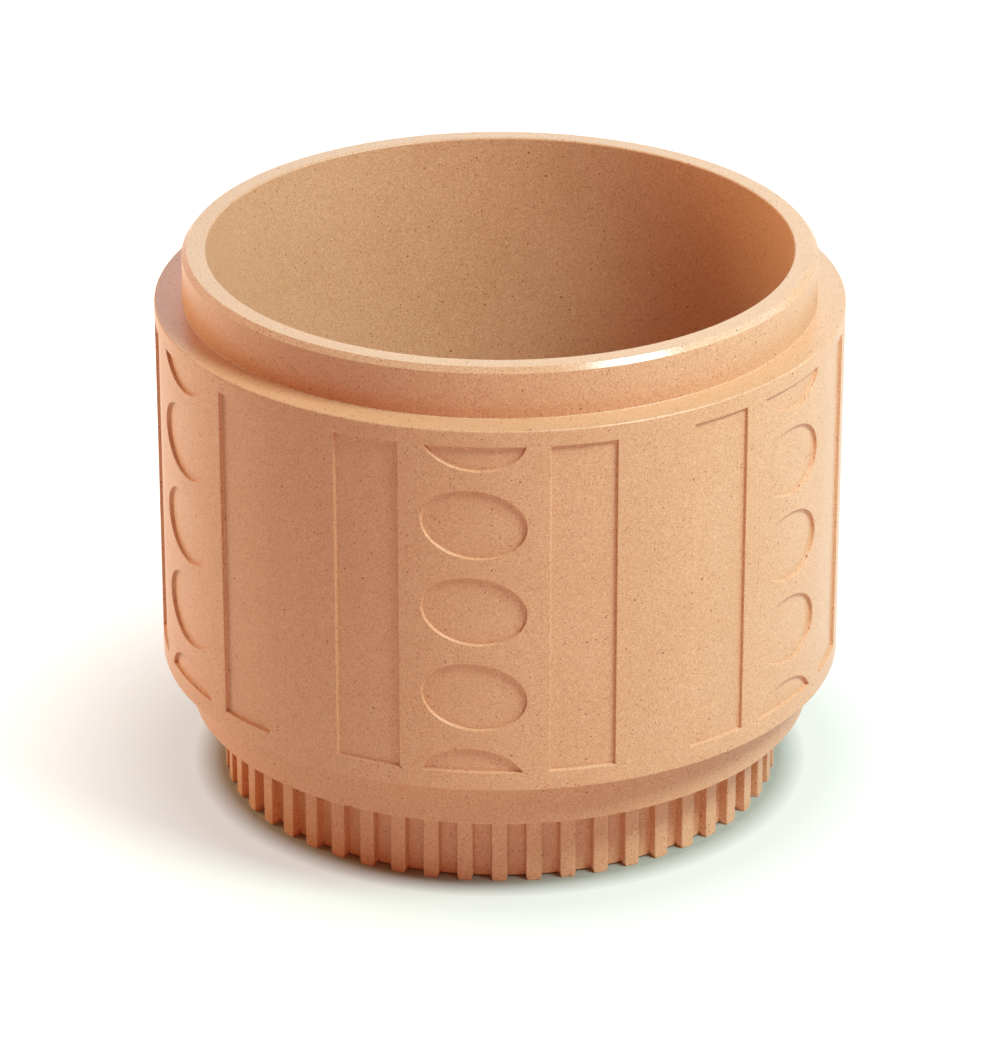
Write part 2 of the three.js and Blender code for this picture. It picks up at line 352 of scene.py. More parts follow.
@dataclass
class Surface:
    """Grids of points that are welded into one mesh.

    Attributes:
        grids: The grids' points, flattened.
        quads: The grids' faces.
        count: Points so far.
    """

    grids: list[np.ndarray] = field(default_factory=list)
    quads: list[np.ndarray] = field(default_factory=list)
    count: int = 0

    def add(self, points: np.ndarray, closed: Closed = Closed.ROUND) -> None:
        """Adds a grid of points, or several grids of one size.

        Args:
            points: Points, laid out as row by column by coordinate, with copies in front.
            closed: Whether the columns join up.
        """
        rows, columns = points.shape[-3:-1]
        stack = points.reshape(-1, rows, columns, 3)
        stretches = columns if closed is Closed.ROUND else columns - 1
        row, column = np.meshgrid(np.arange(rows - 1), np.arange(stretches), indexing="ij")
        right = (column + 1) % columns
        faces = np.stack([row * columns + column, row * columns + right,
                          (row + 1) * columns + right, (row + 1) * columns + column], axis=-1)
        starts = self.count + np.arange(len(stack)) * rows * columns
        self.quads.append((faces.reshape(-1, 4) + starts[:, None, None]).reshape(-1, 4))
        self.grids.append(stack.reshape(-1, 3))
        self.count += stack.size // 3

    def repeat(self, points: np.ndarray, turns: np.ndarray, closed: Closed = Closed.ROUND) -> None:
        """Adds a grid of points once at each of the angles."""
        self.add(spin(points, turns), closed)

    def turn(self, corners: Sequence[Sequence[float]], angles: np.ndarray, steps: int = 4) -> None:
        """Adds a profile that is carried round the axis.

        Args:
            corners: Radius, height and rounding of each of the profile's corners.
            angles: The angles at which it stands.
            steps: Stretches in each rounding.
        """
        self.add(lathe(round_corners(corners, steps), angles))

    def make(self, name: str, crease: float) -> bpy.types.Object:
        """Welds the grids and makes the piece.

        Args:
            name: The piece's name.
            crease: Edges that turn more than this, in degrees, stay sharp.

        Returns:
            The new object, at the origin, with its faces pointing out.
        """
        mesh = bpy.data.meshes.new(name)
        points, quads = np.concatenate(self.grids), np.concatenate(self.quads)
        mesh.vertices.add(len(points))
        mesh.vertices.foreach_set("co", points.astype(np.float32).ravel())
        mesh.loops.add(quads.size)
        mesh.loops.foreach_set("vertex_index", quads.astype(np.int32).ravel())
        mesh.polygons.add(len(quads))
        mesh.polygons.foreach_set("loop_start", np.arange(0, quads.size, 4, dtype=np.int32))
        mesh.update(calc_edges=True)
        work = bmesh.new()
        work.from_mesh(mesh)
        bmesh.ops.remove_doubles(work, verts=work.verts, dist=WELD)
        bmesh.ops.dissolve_degenerate(work, edges=work.edges, dist=WELD / 4)
        bmesh.ops.recalc_face_normals(work, faces=work.faces)
        work.to_mesh(mesh)
        work.free()
        mesh.shade_smooth()
        mesh.set_sharp_from_angle(angle=math.radians(crease))
        piece = bpy.data.objects.new(name, mesh)
        bpy.context.scene.collection.objects.link(piece)
        shading = piece.modifiers.new("even_shading", "WEIGHTED_NORMAL")
        shading.keep_sharp = True
        return piece


class Nodes:
    """A material's node tree, with short calls for the nodes that the finishes use."""

    def __init__(self, name: str) -> None:
        """Starts a material with a principled shader.

        Args:
            name: The material's name.
        """
        self.material = bpy.data.materials.new(name)
        self.material.use_nodes = True
        self.tree = self.material.node_tree
        self.shader = self.tree.nodes["Principled BSDF"]
        self.place = self.tree.nodes.new("ShaderNodeTexCoord").outputs["Object"]

    def add(self, kind: str, inputs: dict[str | int, Input], **settings: object) -> bpy.types.Node:
        """Adds a node.

        Args:
            kind: The node's type, without the word ShaderNode.
            inputs: A value or a socket for each named or numbered input.
            settings: The node's own settings.

        Returns:
            The node.
        """
        node = self.tree.nodes.new("ShaderNode" + kind)
        for key, value in settings.items():
            setattr(node, key, value)
        for key, value in inputs.items():
            if isinstance(value, Socket):
                self.tree.links.new(value, node.inputs[key])
            elif node.inputs[key].type == "RGBA":
                node.inputs[key].default_value = (*value, 1.0)
            else:
                node.inputs[key].default_value = value
        return node

    def math(self, operation: str, first: Input, second: Input, clamp: bool = False) -> Socket:
        """The result of one sum on two values or sockets."""
        return self.add("Math", {0: first, 1: second}, operation=operation, use_clamp=clamp).outputs[0]

    def noise(self, size: float, detail: float = 2.0, roughness: float = 0.5) -> Socket:
        """Noise whose waves are about as long as the size, from 0 to 1 round 0.5."""
        inputs = {"Vector": self.place, "Scale": 1 / size, "Detail": detail, "Roughness": roughness}
        return self.add("TexNoise", inputs).outputs["Fac"]

    def ramp(self, value: Input, low: float, high: float, start: float = 0.0, stop: float = 1.0) -> Socket:
        """A value that goes from low to high while the input goes from start to stop, and stays there."""
        inputs = {"Value": value, "From Min": start, "From Max": stop, "To Min": low, "To Max": high}
        return self.add("MapRange", inputs, clamp=True).outputs["Result"]

    def rise(self, value: Input, start: float, stop: float) -> Socket:
        """A value that goes from 0 to 1 while the input goes from start to stop."""
        return self.ramp(value, 0.0, 1.0, start, stop)

    def specks(self, spacing: float, largest: float, share: float, blur: float) -> Socket:
        """A mask of round specks scattered through the plastic.

        Space is divided into cells of about the spacing, each round its own point. A cell's speck is the
        ball round that point whose radius is drawn between a negative value and the largest, so that
        only a share of the cells has one.

        Args:
            spacing: Distance between the cells' points.
            largest: Radius of the largest specks.
            share: Share of the cells that hold a speck.
            blur: Width of a speck's soft edge.

        Returns:
            1 in a speck and 0 outside.
        """
        cells = self.add("TexVoronoi", {"Vector": self.place, "Scale": 1 / spacing}, feature="F1")
        draw = self.add("SeparateColor", {"Color": cells.outputs["Color"]}).outputs[0]
        missing = -largest * (1 - share) / share
        radius = self.ramp(draw, missing / spacing, largest / spacing)
        inside = self.math("SUBTRACT", radius, cells.outputs["Distance"])
        return self.math("MULTIPLY", inside, spacing / blur, clamp=True)

    def mix(self, share: Input, first: Input, second: Input, way: str = "MIX") -> Socket:
        """Two colours mixed by a share. The node has them in its inputs 6 and 7, and the result in 2."""
        return self.add("Mix", {0: share, 6: first, 7: second}, data_type="RGBA", blend_type=way).outputs[2]

    def bump(self, height: Input, distance: float, strength: float) -> None:
        """Gives the shader a fine relief from a height between 0 and 1."""
        inputs = {"Height": height, "Distance": distance, "Strength": strength}
        self.link("Normal", self.add("Bump", inputs).outputs["Normal"])

    def link(self, name: str, socket: Socket) -> None:
        """Joins a socket to an input of the shader."""
        self.tree.links.new(socket, self.shader.inputs[name])

    def set(self, name: str, value: float) -> None:
        """Sets one of the shader's own inputs."""
        self.shader.inputs[name].default_value = value


@dataclass(frozen=True)
class Speckle:
    """One kind of speck in the plastic.

    Attributes:
        spacing: Distance between the points that may hold one.
        largest: Radius of the largest.
        share: Share of the points that hold one.
        colour: Its colour, linear.
        strength: How far the colour covers the plastic's own.
    """

    spacing: float
    largest: float
    share: float
    colour: Colour
    strength: float


@dataclass(frozen=True)
class SpeckledPlastic:
    """Matt terracotta plastic with plant fibre ground into it.

    Attributes:
        name: The material's name.
        colour: The plastic's colour, linear.
        mottle: How far the colour drifts from place to place.
        mottle_sizes: Lengths of the wide and the close drift.
        mottle_range: Values of the two noises' sum between which the drift runs.
        roughness: The middle of the roughness.
        roughness_drift: What is added to it in the grain's hollows and on its tops.
        grain: Depth of the moulded grain.
        grain_size: Length of its waves.
        grain_range: Values of its noise that are the darkest and the palest.
        grain_dark: What the colour is multiplied by in the grain's hollows.
        grain_pale: What it is multiplied by on the grain's tops.
        polish: Radius and height past which the plastic is polished, or zeros for none.
        polish_edge: Half the width over which the polish sets in.
        polish_share: What the roughness is multiplied by there.
        blur: Width of the specks' soft edges.
        speckles: The kinds of speck.
    """

    name: str
    colour: Colour = (0.70, 0.33, 0.17)
    mottle: float = 0.035
    mottle_sizes: tuple[float, float] = (26 * MM, 5 * MM)
    mottle_range: tuple[float, float] = (0.6, 1.4)
    roughness: float = 0.38
    roughness_drift: tuple[float, float] = (-0.05, 0.07)
    grain: float = 0.012 * MM
    grain_size: float = 0.5 * MM
    grain_range: tuple[float, float] = (0.36, 0.64)
    grain_dark: Colour = (0.84, 0.75, 0.68)
    grain_pale: Colour = (1.06, 1.12, 1.16)
    polish: tuple[float, float] = (0.0, 0.0)
    polish_edge: float = 0.2 * MM
    polish_share: float = 0.5
    blur: float = 0.06 * MM
    speckles: tuple[Speckle, ...] = (
        Speckle(0.55 * MM, 0.22 * MM, 0.6, (0.40, 0.115, 0.042), 0.72),
        Speckle(1.0 * MM, 0.24 * MM, 0.45, (0.96, 0.70, 0.50), 0.5),
        Speckle(1.05 * MM, 0.3 * MM, 0.5, (0.34, 0.085, 0.026), 0.8),
        Speckle(2.6 * MM, 0.4 * MM, 0.42, (0.27, 0.06, 0.016), 0.85),
    )

    def make(self) -> bpy.types.Material:
        """Builds the material: drift, grain and the kinds of speck over the plastic's colour.

        Returns:
            The material.
        """
        nodes = Nodes(self.name)
        wide, close = self.mottle_sizes
        drift = nodes.math("ADD", nodes.noise(wide), nodes.noise(close, 3.0))
        drift = nodes.rise(drift, *self.mottle_range)
        darker = tuple(c * (1 - self.mottle) for c in self.colour)
        paler = tuple(c + (1 - c) * self.mottle * 0.7 for c in self.colour)
        colour = nodes.mix(drift, darker, paler)
        grain = nodes.noise(self.grain_size, 3.0, 0.6)
        tone = nodes.mix(nodes.rise(grain, *self.grain_range), self.grain_dark, self.grain_pale)
        colour = nodes.mix(1.0, colour, tone, "MULTIPLY")
        for kind in self.speckles:
            mask = nodes.specks(kind.spacing, kind.largest, kind.share, self.blur)
            colour = nodes.mix(nodes.math("MULTIPLY", mask, kind.strength), colour, kind.colour)
        nodes.link("Base Color", colour)
        low, high = (self.roughness + drift for drift in self.roughness_drift)
        roughness = nodes.ramp(grain, low, high, 0.3, 0.7)
        if self.polish[0]:
            polish = self.polished(nodes)
            roughness = nodes.math("MULTIPLY", roughness, nodes.ramp(polish, 1.0, self.polish_share))
        nodes.link("Roughness", roughness)
        nodes.bump(grain, self.grain, 0.6)
        nodes.set("IOR", 1.5)
        return nodes.material

    def polished(self, nodes: Nodes) -> Socket:
        """The share of polish: 1 past both its radius and its height, and 0 elsewhere.

        Args:
            nodes: The material's nodes.

        Returns:
            The share.
        """
        radius, height = self.polish
        level = nodes.add("VectorMath", {0: nodes.place, 1: (1.0, 1.0, 0.0)}, operation="MULTIPLY")
        away = nodes.add("VectorMath", {0: level.outputs[0]}, operation="LENGTH").outputs["Value"]
        up = nodes.add("SeparateXYZ", {0: nodes.place}).outputs["Z"]
        past_radius = nodes.rise(away, radius - self.polish_edge, radius + self.polish_edge)
        past_height = nodes.rise(up, height - self.polish_edge, height + self.polish_edge)
        return nodes.math("MINIMUM", past_radius, past_height)


@dataclass(frozen=True)
class PatchyFinish:
    """A finish of two colours in soft patches, rougher in the second one, over a fine relief.

    It serves for black rubber with a powdery bloom, and for bright zinc with dull patches and scratches.

    Attributes:
        name: The material's name.
        colour: The first colour, linear.
        patch: The second colour, linear.
        patch_size: Length of the patches.
        patch_detail: Octaves of noise in them.
        patch_range: Values of the noise where the second colour starts, and where it is full.
        roughness: Roughness of the first colour and of the second.
        relief_size: Length of the relief's waves.
        relief: Its depth.
        relief_strength: Its strength.
        metallic: Whether it is a metal.
    """

    name: str
    colour: Colour
    patch: Colour
    patch_size: float
    patch_detail: float
    patch_range: tuple[float, float]
    roughness: tuple[float, float]
    relief_size: float
    relief: float
    relief_strength: float
    metallic: bool = False

    def make(self) -> bpy.types.Material:
        """Builds the material: the patches' noise mixes the colours and sets the roughness.

        Returns:
            The material.
        """
        nodes = Nodes(self.name)
        patches = nodes.rise(nodes.noise(self.patch_size, self.patch_detail), *self.patch_range)
        nodes.link("Base Color", nodes.mix(patches, self.colour, self.patch))
        nodes.link("Roughness", nodes.ramp(patches, *self.roughness))
        nodes.bump(nodes.noise(self.relief_size), self.relief, self.relief_strength)
        nodes.set("Metallic", float(self.metallic))
        return nodes.material


STOPPER_RUBBER = PatchyFinish(
    "stopper_rubber", colour=(0.020, 0.019, 0.018), patch=(0.060, 0.057, 0.054),
    patch_size=4 * MM, patch_detail=4.0, patch_range=(0.42, 0.62), roughness=(0.5, 0.68),
    relief_size=0.25 * MM, relief=0.01 * MM, relief_strength=0.6)
SCREW_ZINC = PatchyFinish(
    "screw_zinc", colour=(0.62, 0.62, 0.64), patch=(0.40, 0.40, 0.42),
    patch_size=1.2 * MM, patch_detail=3.0, patch_range=(0.45, 0.65), roughness=(0.26, 0.45),
    relief_size=0.12 * MM, relief=0.004 * MM, relief_strength=0.5, metallic=True)


@dataclass(frozen=True)
class Place:
    """Where a piece belongs in the model.

    Attributes:
        name: The piece's own name.
        node: The node that it stands for.
        slot: The record's material slot. Not used.
        body: The body that it rides on.
    """

    name: str
    node: str
    slot: str
    body: Body = Body.POT


class Part:
    """A part of the pot. Each kind says where it belongs and works out its own surface.

    Attributes:
        place: Where it belongs in the model.
        crease: Its edges that turn more than this, in degrees, stay sharp.
    """

    place: Place
    crease: float = 50

    def surface(self) -> Surface:
        """The part's whole surface."""
        raise NotImplementedError

    def build(self, material: bpy.types.Material) -> bpy.types.Object:
        """Makes the part's piece, dresses it and gives it its place in the model.

        Args:
            material: Its finish.

        Returns:
            The piece.
        """
        piece = self.surface().make(self.place.name, self.crease)
        piece.data.materials.append(material)
        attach(piece, self.place.body.value)
        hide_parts(self.place.node)
        return piece


@dataclass
class ReliefShell(Part):
    """The drum: a shoulder on top, sunk bars and ovals round the side, open below.

    Attributes:
        radius: Radius of the drum.
        low: Height of its lower edge.
        spigot_top: Height of the end of the spigot that rises from the shoulder.
        spigot_height: How far the spigot rises.
        spigot: Its outer radius.
        spigot_wall: Its wall.
        neck: Radius at which the shoulder's fillet lies against the liner's neck.
        fillet: Width and height of that fillet.
        wall: The drum's wall.
        roof: Thickness of the shoulder.
        roof_corner: Radius under the shoulder.
        shoulder_edge: Radius of the shoulder's edge.
        lower_edge: Radius of the drum's lower edge.
        groove_rise: From the lower edge to the groove that holds the tray.
        groove_height: The groove's height.
        groove_depth: Its depth.
        motifs: Columns of ovals round the drum.
        ovals: Whole ovals in a column. Half of one more shows at either end.
        top_margin: From the relief to the shoulder.
        bottom_margin: From the relief to the lower edge.
        oval_width: An oval's longer way across.
        oval_height: Its shorter way across.
        oval_lean: How far it is turned clockwise.
        oval_pitch: From oval to oval.
        bar_width: Width of a bar.
        bar_turn: From a column's middle to the middle of the bar beside it.
        cell_turn: From a column's middle to the side of its cells.
        edge: The section across the relief's edges.
        cell_columns: Lines of points across a cell.
        oval_rows: Stretches up the side of a whole oval's cell.
        cut_rows: Stretches up the side of a cut oval's cell.
        margin_rows: Lines of points in each margin, in a bar between its walls, and between two bars.
        cut_middle: Share of the way from the relief's end to a cut oval's far side at which its
            floor's rings meet.
    """

    place: Place = Place("drum_shell", "relief_shell", "shell_plastic")
    radius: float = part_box("relief_shell")[1].x
    low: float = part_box("relief_shell")[0].z
    spigot_top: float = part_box("relief_shell")[1].z
    spigot_height: float = 5 * MM
    spigot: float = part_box("planting_liner")[1].x - 2.6 * MM
    spigot_wall: float = 1.4 * MM
    neck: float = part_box("planting_liner")[1].x + 0.05 * MM
    fillet: float = 0.35 * MM
    wall: float = 4 * MM
    roof: float = 2.6 * MM
    roof_corner: float = 1.5 * MM
    shoulder_edge: float = 0.55 * MM
    lower_edge: float = 0.5 * MM
    groove_rise: float = 3.7 * MM
    groove_height: float = 1.8 * MM
    groove_depth: float = 0.8 * MM
    motifs: int = 6
    ovals: int = 3
    top_margin: float = 4.9 * MM
    bottom_margin: float = 5.8 * MM
    oval_width: float = 29.8 * MM
    oval_height: float = 20.6 * MM
    oval_lean: float = math.radians(7)
    oval_pitch: float = 26.5 * MM
    bar_width: float = 19 * MM
    bar_turn: float = math.radians(17.7)
    cell_turn: float = math.radians(10.4)
    edge: Section = Section(1.0 * MM, 0.2 * MM, 0.22 * MM, math.radians(10))
    cell_columns: int = 25
    oval_rows: int = 18
    cut_rows: int = 6
    margin_rows: int = 4
    cut_middle: float = 0.45

    def __post_init__(self) -> None:
        """Works out the heights and the rows and columns that the grids share."""
        self.shoulder = self.spigot_top - self.spigot_height
        self.inside = self.radius - self.wall
        self.field_low = self.low + self.bottom_margin
        self.field_high = self.shoulder - self.top_margin
        self.middle = (self.field_low + self.field_high) / 2
        across = self.edge.points()[:, 0]
        self.cuts = self.middle + (np.arange(self.ovals + 1) - self.ovals / 2) * self.oval_pitch
        ends = [self.field_low + across[-1], *self.cuts, self.field_high - across[-1]]
        counts = [self.cut_rows, *[self.oval_rows] * self.ovals, self.cut_rows]
        inner = [np.linspace(a, b, n + 1)[:-1] for a, b, n in zip(ends[:-1], ends[1:], counts)]
        low_margin = self.low + self.lower_edge, self.field_low + across[0]
        high_margin = self.field_high - across[0], self.shoulder - self.shoulder_edge
        self.rows = np.concatenate([
            np.linspace(*low_margin, self.margin_rows)[:-1], self.field_low + across[:-1], *inner,
            self.field_high - across[::-1], np.linspace(*high_margin, self.margin_rows)[1:]])
        side = self.radius * self.cell_turn
        self.oval_columns = np.linspace(-side, side, self.cell_columns)
        self.pitch = self.radius * TURN / self.motifs
        self.bar_half = self.radius * math.asin(self.bar_width / 2 / self.radius)
        self.bars = self.radius * self.bar_turn * np.array([1, -1]) + np.array([0, self.pitch])
        runs = [np.concatenate([bar - self.bar_half + across, bar + self.bar_half - across[::-1]])
                for bar in self.bars]
        plain = [(run[len(across) - 1], run[len(across)]) for run in runs] + [(runs[0][-1], runs[1][0])]
        fill = [np.linspace(start, stop, self.margin_rows + 2)[1:-1] for start, stop in plain]
        self.bar_columns = np.sort(np.concatenate([[side, self.pitch - side], *runs, *fill]))

    def on_drum(self, flat: np.ndarray, depth: np.ndarray) -> np.ndarray:
        """Wraps flat points (way round, height) onto the drum, sunk by a depth."""
        return polar(self.radius - depth, flat[..., 0] / self.radius, flat[..., 1])

    def ellipse(self, turn: np.ndarray) -> np.ndarray:
        """Points of an oval round its own middle.

        The upright ellipse (half width times cosine, half height times sine) is turned clockwise, as
        seen from outside, by the lean.

        Args:
            turn: The angles that the cosine and sine are taken of.

        Returns:
            The points, as way round and height.
        """
        x, z = np.cos(turn) * self.oval_width / 2, np.sin(turn) * self.oval_height / 2
        cos, sin = math.cos(self.oval_lean), math.sin(self.oval_lean)
        return np.stack([x * cos + z * sin, z * cos - x * sin], axis=-1)

    def bar_field(self) -> np.ndarray:
        """The stretch between two columns of ovals, with its two bars.

        The depth at a point is the section's depth at its distance inside the nearest bar: the lesser of
        the distances to the bar's upright and level edges.

        Returns:
            The stretch's grid of points.
        """
        x, z = np.meshgrid(self.bar_columns, self.rows)
        inside_x = self.bar_half - np.min(np.abs(x[..., None] - self.bars), axis=-1)
        inside_z = np.minimum(z - self.field_low, self.field_high - z)
        across = self.edge.points()
        depth = np.interp(np.minimum(inside_x, inside_z), across[:, 0], across[:, 1])
        return self.on_drum(np.stack([x, z], axis=-1), depth)

    def whole_oval(self, index: int) -> np.ndarray:
        """The cell of a whole oval, with the four sides of the cell given a quarter of its outline each.

        Args:
            index: Which of the gaps between the cuts, from below.

        Returns:
            The cell's grid of points.
        """
        x = self.oval_columns
        low, high = self.cuts[index], self.cuts[index + 1]
        z = self.rows[(self.rows > low - SAME) & (self.rows < high + SAME)]
        loop = np.concatenate([line(x[:-1], z[0]), line(x[-1], z[:-1]),
                               line(x[:0:-1], z[-1]), line(x[0], z[:0:-1])])
        eighths = [np.linspace(first, first + 2, len(side))[:-1]
                   for first, side in zip((-3, -1, 1, 3), (x, z, x, z))]
        centre = np.array([0.0, (low + high) / 2])
        outline = centre + self.ellipse(np.concatenate(eighths) * (TURN / 8))
        flat, depth = field_cell(loop, outline, self.edge, centre)
        return self.on_drum(flat, depth[:, None])

    def cut_oval(self, upper: bool) -> np.ndarray:
        """The cell of an oval that the relief's level edge cuts off.

        It is drawn as the upper one: the ellipse's arc below the edge and the chord along the edge, each
        shared out by the length of the border beside it. The height on the leaning ellipse is reach times
        the sine of the angle less a phase, which gives the arc's two ends. The lower oval is the upper
        one given half a turn.

        Args:
            upper: Whether it is the upper one of the column.

        Returns:
            The cell's grid of points.
        """
        way = 1 if upper else -1
        rows = self.rows if upper else -self.rows[::-1]
        edge = self.field_high if upper else -self.field_low
        cut = self.cuts[-1] if upper else -self.cuts[0]
        centre = way * self.middle + (self.ovals + 1) / 2 * self.oval_pitch
        below = rows[(rows > cut - SAME) & (rows < edge + SAME)]
        above = rows[rows > edge - SAME]
        x = self.oval_columns
        lower_loop = np.concatenate([
            line(x[0], below[::-1]), line(x[1:-1], below[0]), line(x[-1], below)])
        upper_loop = np.concatenate([
            line(x[-1], above), line(x[-2:0:-1], above[-1]), line(x[0], above[::-1])])
        up = self.oval_height / 2 * math.cos(self.oval_lean)
        along = self.oval_width / 2 * math.sin(self.oval_lean)
        reach, phase = math.hypot(up, along), math.atan2(along, up)
        corner = math.asin((edge - centre) / reach)
        turn = phase + math.pi - corner + self.shares(lower_loop) * (math.pi + 2 * corner)
        arc = self.ellipse(turn) + np.array([0.0, centre])
        chord = blend(arc[-1], arc[0], self.shares(upper_loop))
        loop = np.concatenate([lower_loop[:-1], upper_loop[:-1]])
        outline = np.concatenate([arc[:-1], chord[:-1]])
        middle = np.array([0.0, edge * (1 - self.cut_middle) + (centre - reach) * self.cut_middle])
        flat, depth = field_cell(loop, outline, self.edge, middle)
        return self.on_drum(flat * way, depth[:, None])

    @staticmethod
    def shares(line: np.ndarray) -> np.ndarray:
        """How far along a line each of its points lies, from 0 to 1."""
        run = np.concatenate([[0], np.cumsum(np.linalg.norm(np.diff(line, axis=0), axis=1))])
        return run / run[-1]

    def back_profile(self) -> np.ndarray:
        """The rest of the drum's section.

        It has the shoulder with a fillet that lies against the neck, the spigot, the inner wall with its
        groove, and the lower edge.

        Returns:
            Pairs of radius and height.
        """
        roof = self.shoulder - self.roof
        groove_low = self.low + self.groove_rise
        groove_high = groove_low + self.groove_height
        groove = self.inside + self.groove_depth
        spigot_inside = self.spigot - self.spigot_wall
        profile = round_corners([
            (self.radius, self.rows[-1] - SEAM, 0), (self.radius, self.shoulder, self.shoulder_edge - SEAM),
            (self.neck + self.fillet, self.shoulder, 0), (self.neck, self.shoulder + self.fillet, 0),
            (self.neck, self.shoulder, 0),
            (self.spigot, self.shoulder, SOFT), (self.spigot, self.spigot_top, EASED),
            (spigot_inside, self.spigot_top, EASED), (spigot_inside, roof, SOFT),
            (self.inside, roof, self.roof_corner), (self.inside, groove_high, CRISP),
            (groove, groove_high, CRISP), (groove, groove_low, CRISP),
            (self.inside, groove_low, CRISP), (self.inside, self.low, SOFT),
            (self.radius, self.low, self.lower_edge - SEAM), (self.radius, self.rows[0] + SEAM, 0)])
        profile[0, 1], profile[-1, 1] = self.rows[-1], self.rows[0]
        return profile

    def surface(self) -> Surface:
        """The relief's cells all round, and the rest of the section on the same columns.

        Returns:
            The surface.
        """
        surface = Surface()
        turns = even_angles(self.motifs)
        surface.repeat(self.bar_field(), turns, Closed.NONE)
        for index in range(self.ovals):
            surface.repeat(self.whole_oval(index), turns)
        for upper in (True, False):
            surface.repeat(self.cut_oval(upper), turns)
        columns = np.concatenate([self.oval_columns[:-1], self.bar_columns[:-1]]) / self.radius
        surface.add(lathe(self.back_profile(), (turns[:, None] + columns[None]).ravel()))
        return surface


@dataclass
class HoleField:
    """A round plate with a hole in its middle and rings of 6, 12, 18... holes or studs.

    Attributes:
        top: Height of the plate's upper face.
        thickness: Its thickness.
        hole: Radius of the holes.
        border: Radius of the plate.
        circles: Radius of each ring of holes.
        lip: Radius of the holes' edges.
        stud_ring: The ring in which every third place is a stud under the plate, or -1.
        stud: Radius of the studs.
        stud_height: How far they reach below the plate.
        dimple: Section of the dimple over each stud.
        first_count: Holes in the first ring, by which each ring has more than the last.
        fewest_rows: Fewest stretches along a cell's straight side.
    """

    top: float
    thickness: float
    hole: float
    border: float
    circles: tuple[float, ...]
    lip: float = EASED
    stud_ring: int = -1
    stud: float = 0.0
    stud_height: float = 0.0
    dimple: Section = Section(0.3 * MM, 0.1 * MM, 0.1 * MM, 0.2)
    first_count: int = 6
    fewest_rows: int = 4

    def pierced(self, loop: np.ndarray, centre: np.ndarray) -> np.ndarray:
        """The plate's cell inside a border, with a hole round a centre."""
        cell = hole_cell(loop, ring_outline(loop, centre, self.hole), self.thickness, self.lip)
        return plate_points(cell, self.top)

    def add_to(self, surface: Surface, angles: np.ndarray) -> None:
        """Adds the plate's cells to a surface.

        The rings' borders lie half way between their circles. Each ring is cut into as many equal
        sectors as it has holes, all on the same columns.

        Args:
            surface: The surface that takes them.
            angles: The columns round the plate's border.
        """
        circles = np.array(self.circles)
        borders = np.concatenate([[circles[0] / 2], (circles[1:] + circles[:-1]) / 2, [self.border]])
        surface.add(self.pierced(polar(borders[0], angles, 0.0)[:, :2], np.zeros(2)))
        for index, circle in enumerate(circles):
            count = self.first_count * (index + 1)
            span = len(angles) // count
            columns = (np.arange(span + 1) - span / 2) * TURN / len(angles)
            width = borders[index + 1] - borders[index]
            radial = max(self.fewest_rows, round(width / circle * len(angles) / TURN))
            loop = sector_loop(borders[index], borders[index + 1], columns, radial)
            centre = np.array([0.0, -circle])
            turns = even_angles(count)
            studs = turns[::3] if index == self.stud_ring else turns[:0]
            surface.repeat(self.pierced(loop, centre), np.setdiff1d(turns, studs))
            if len(studs):
                outline = ring_outline(loop, centre, self.stud)
                foot = Section(self.stud_height, DEEP, FULL)
                for section, height in ((foot, self.top - self.thickness), (self.dimple, self.top)):
                    surface.repeat(plate_points(field_cell(loop, outline, section, centre), height), studs)


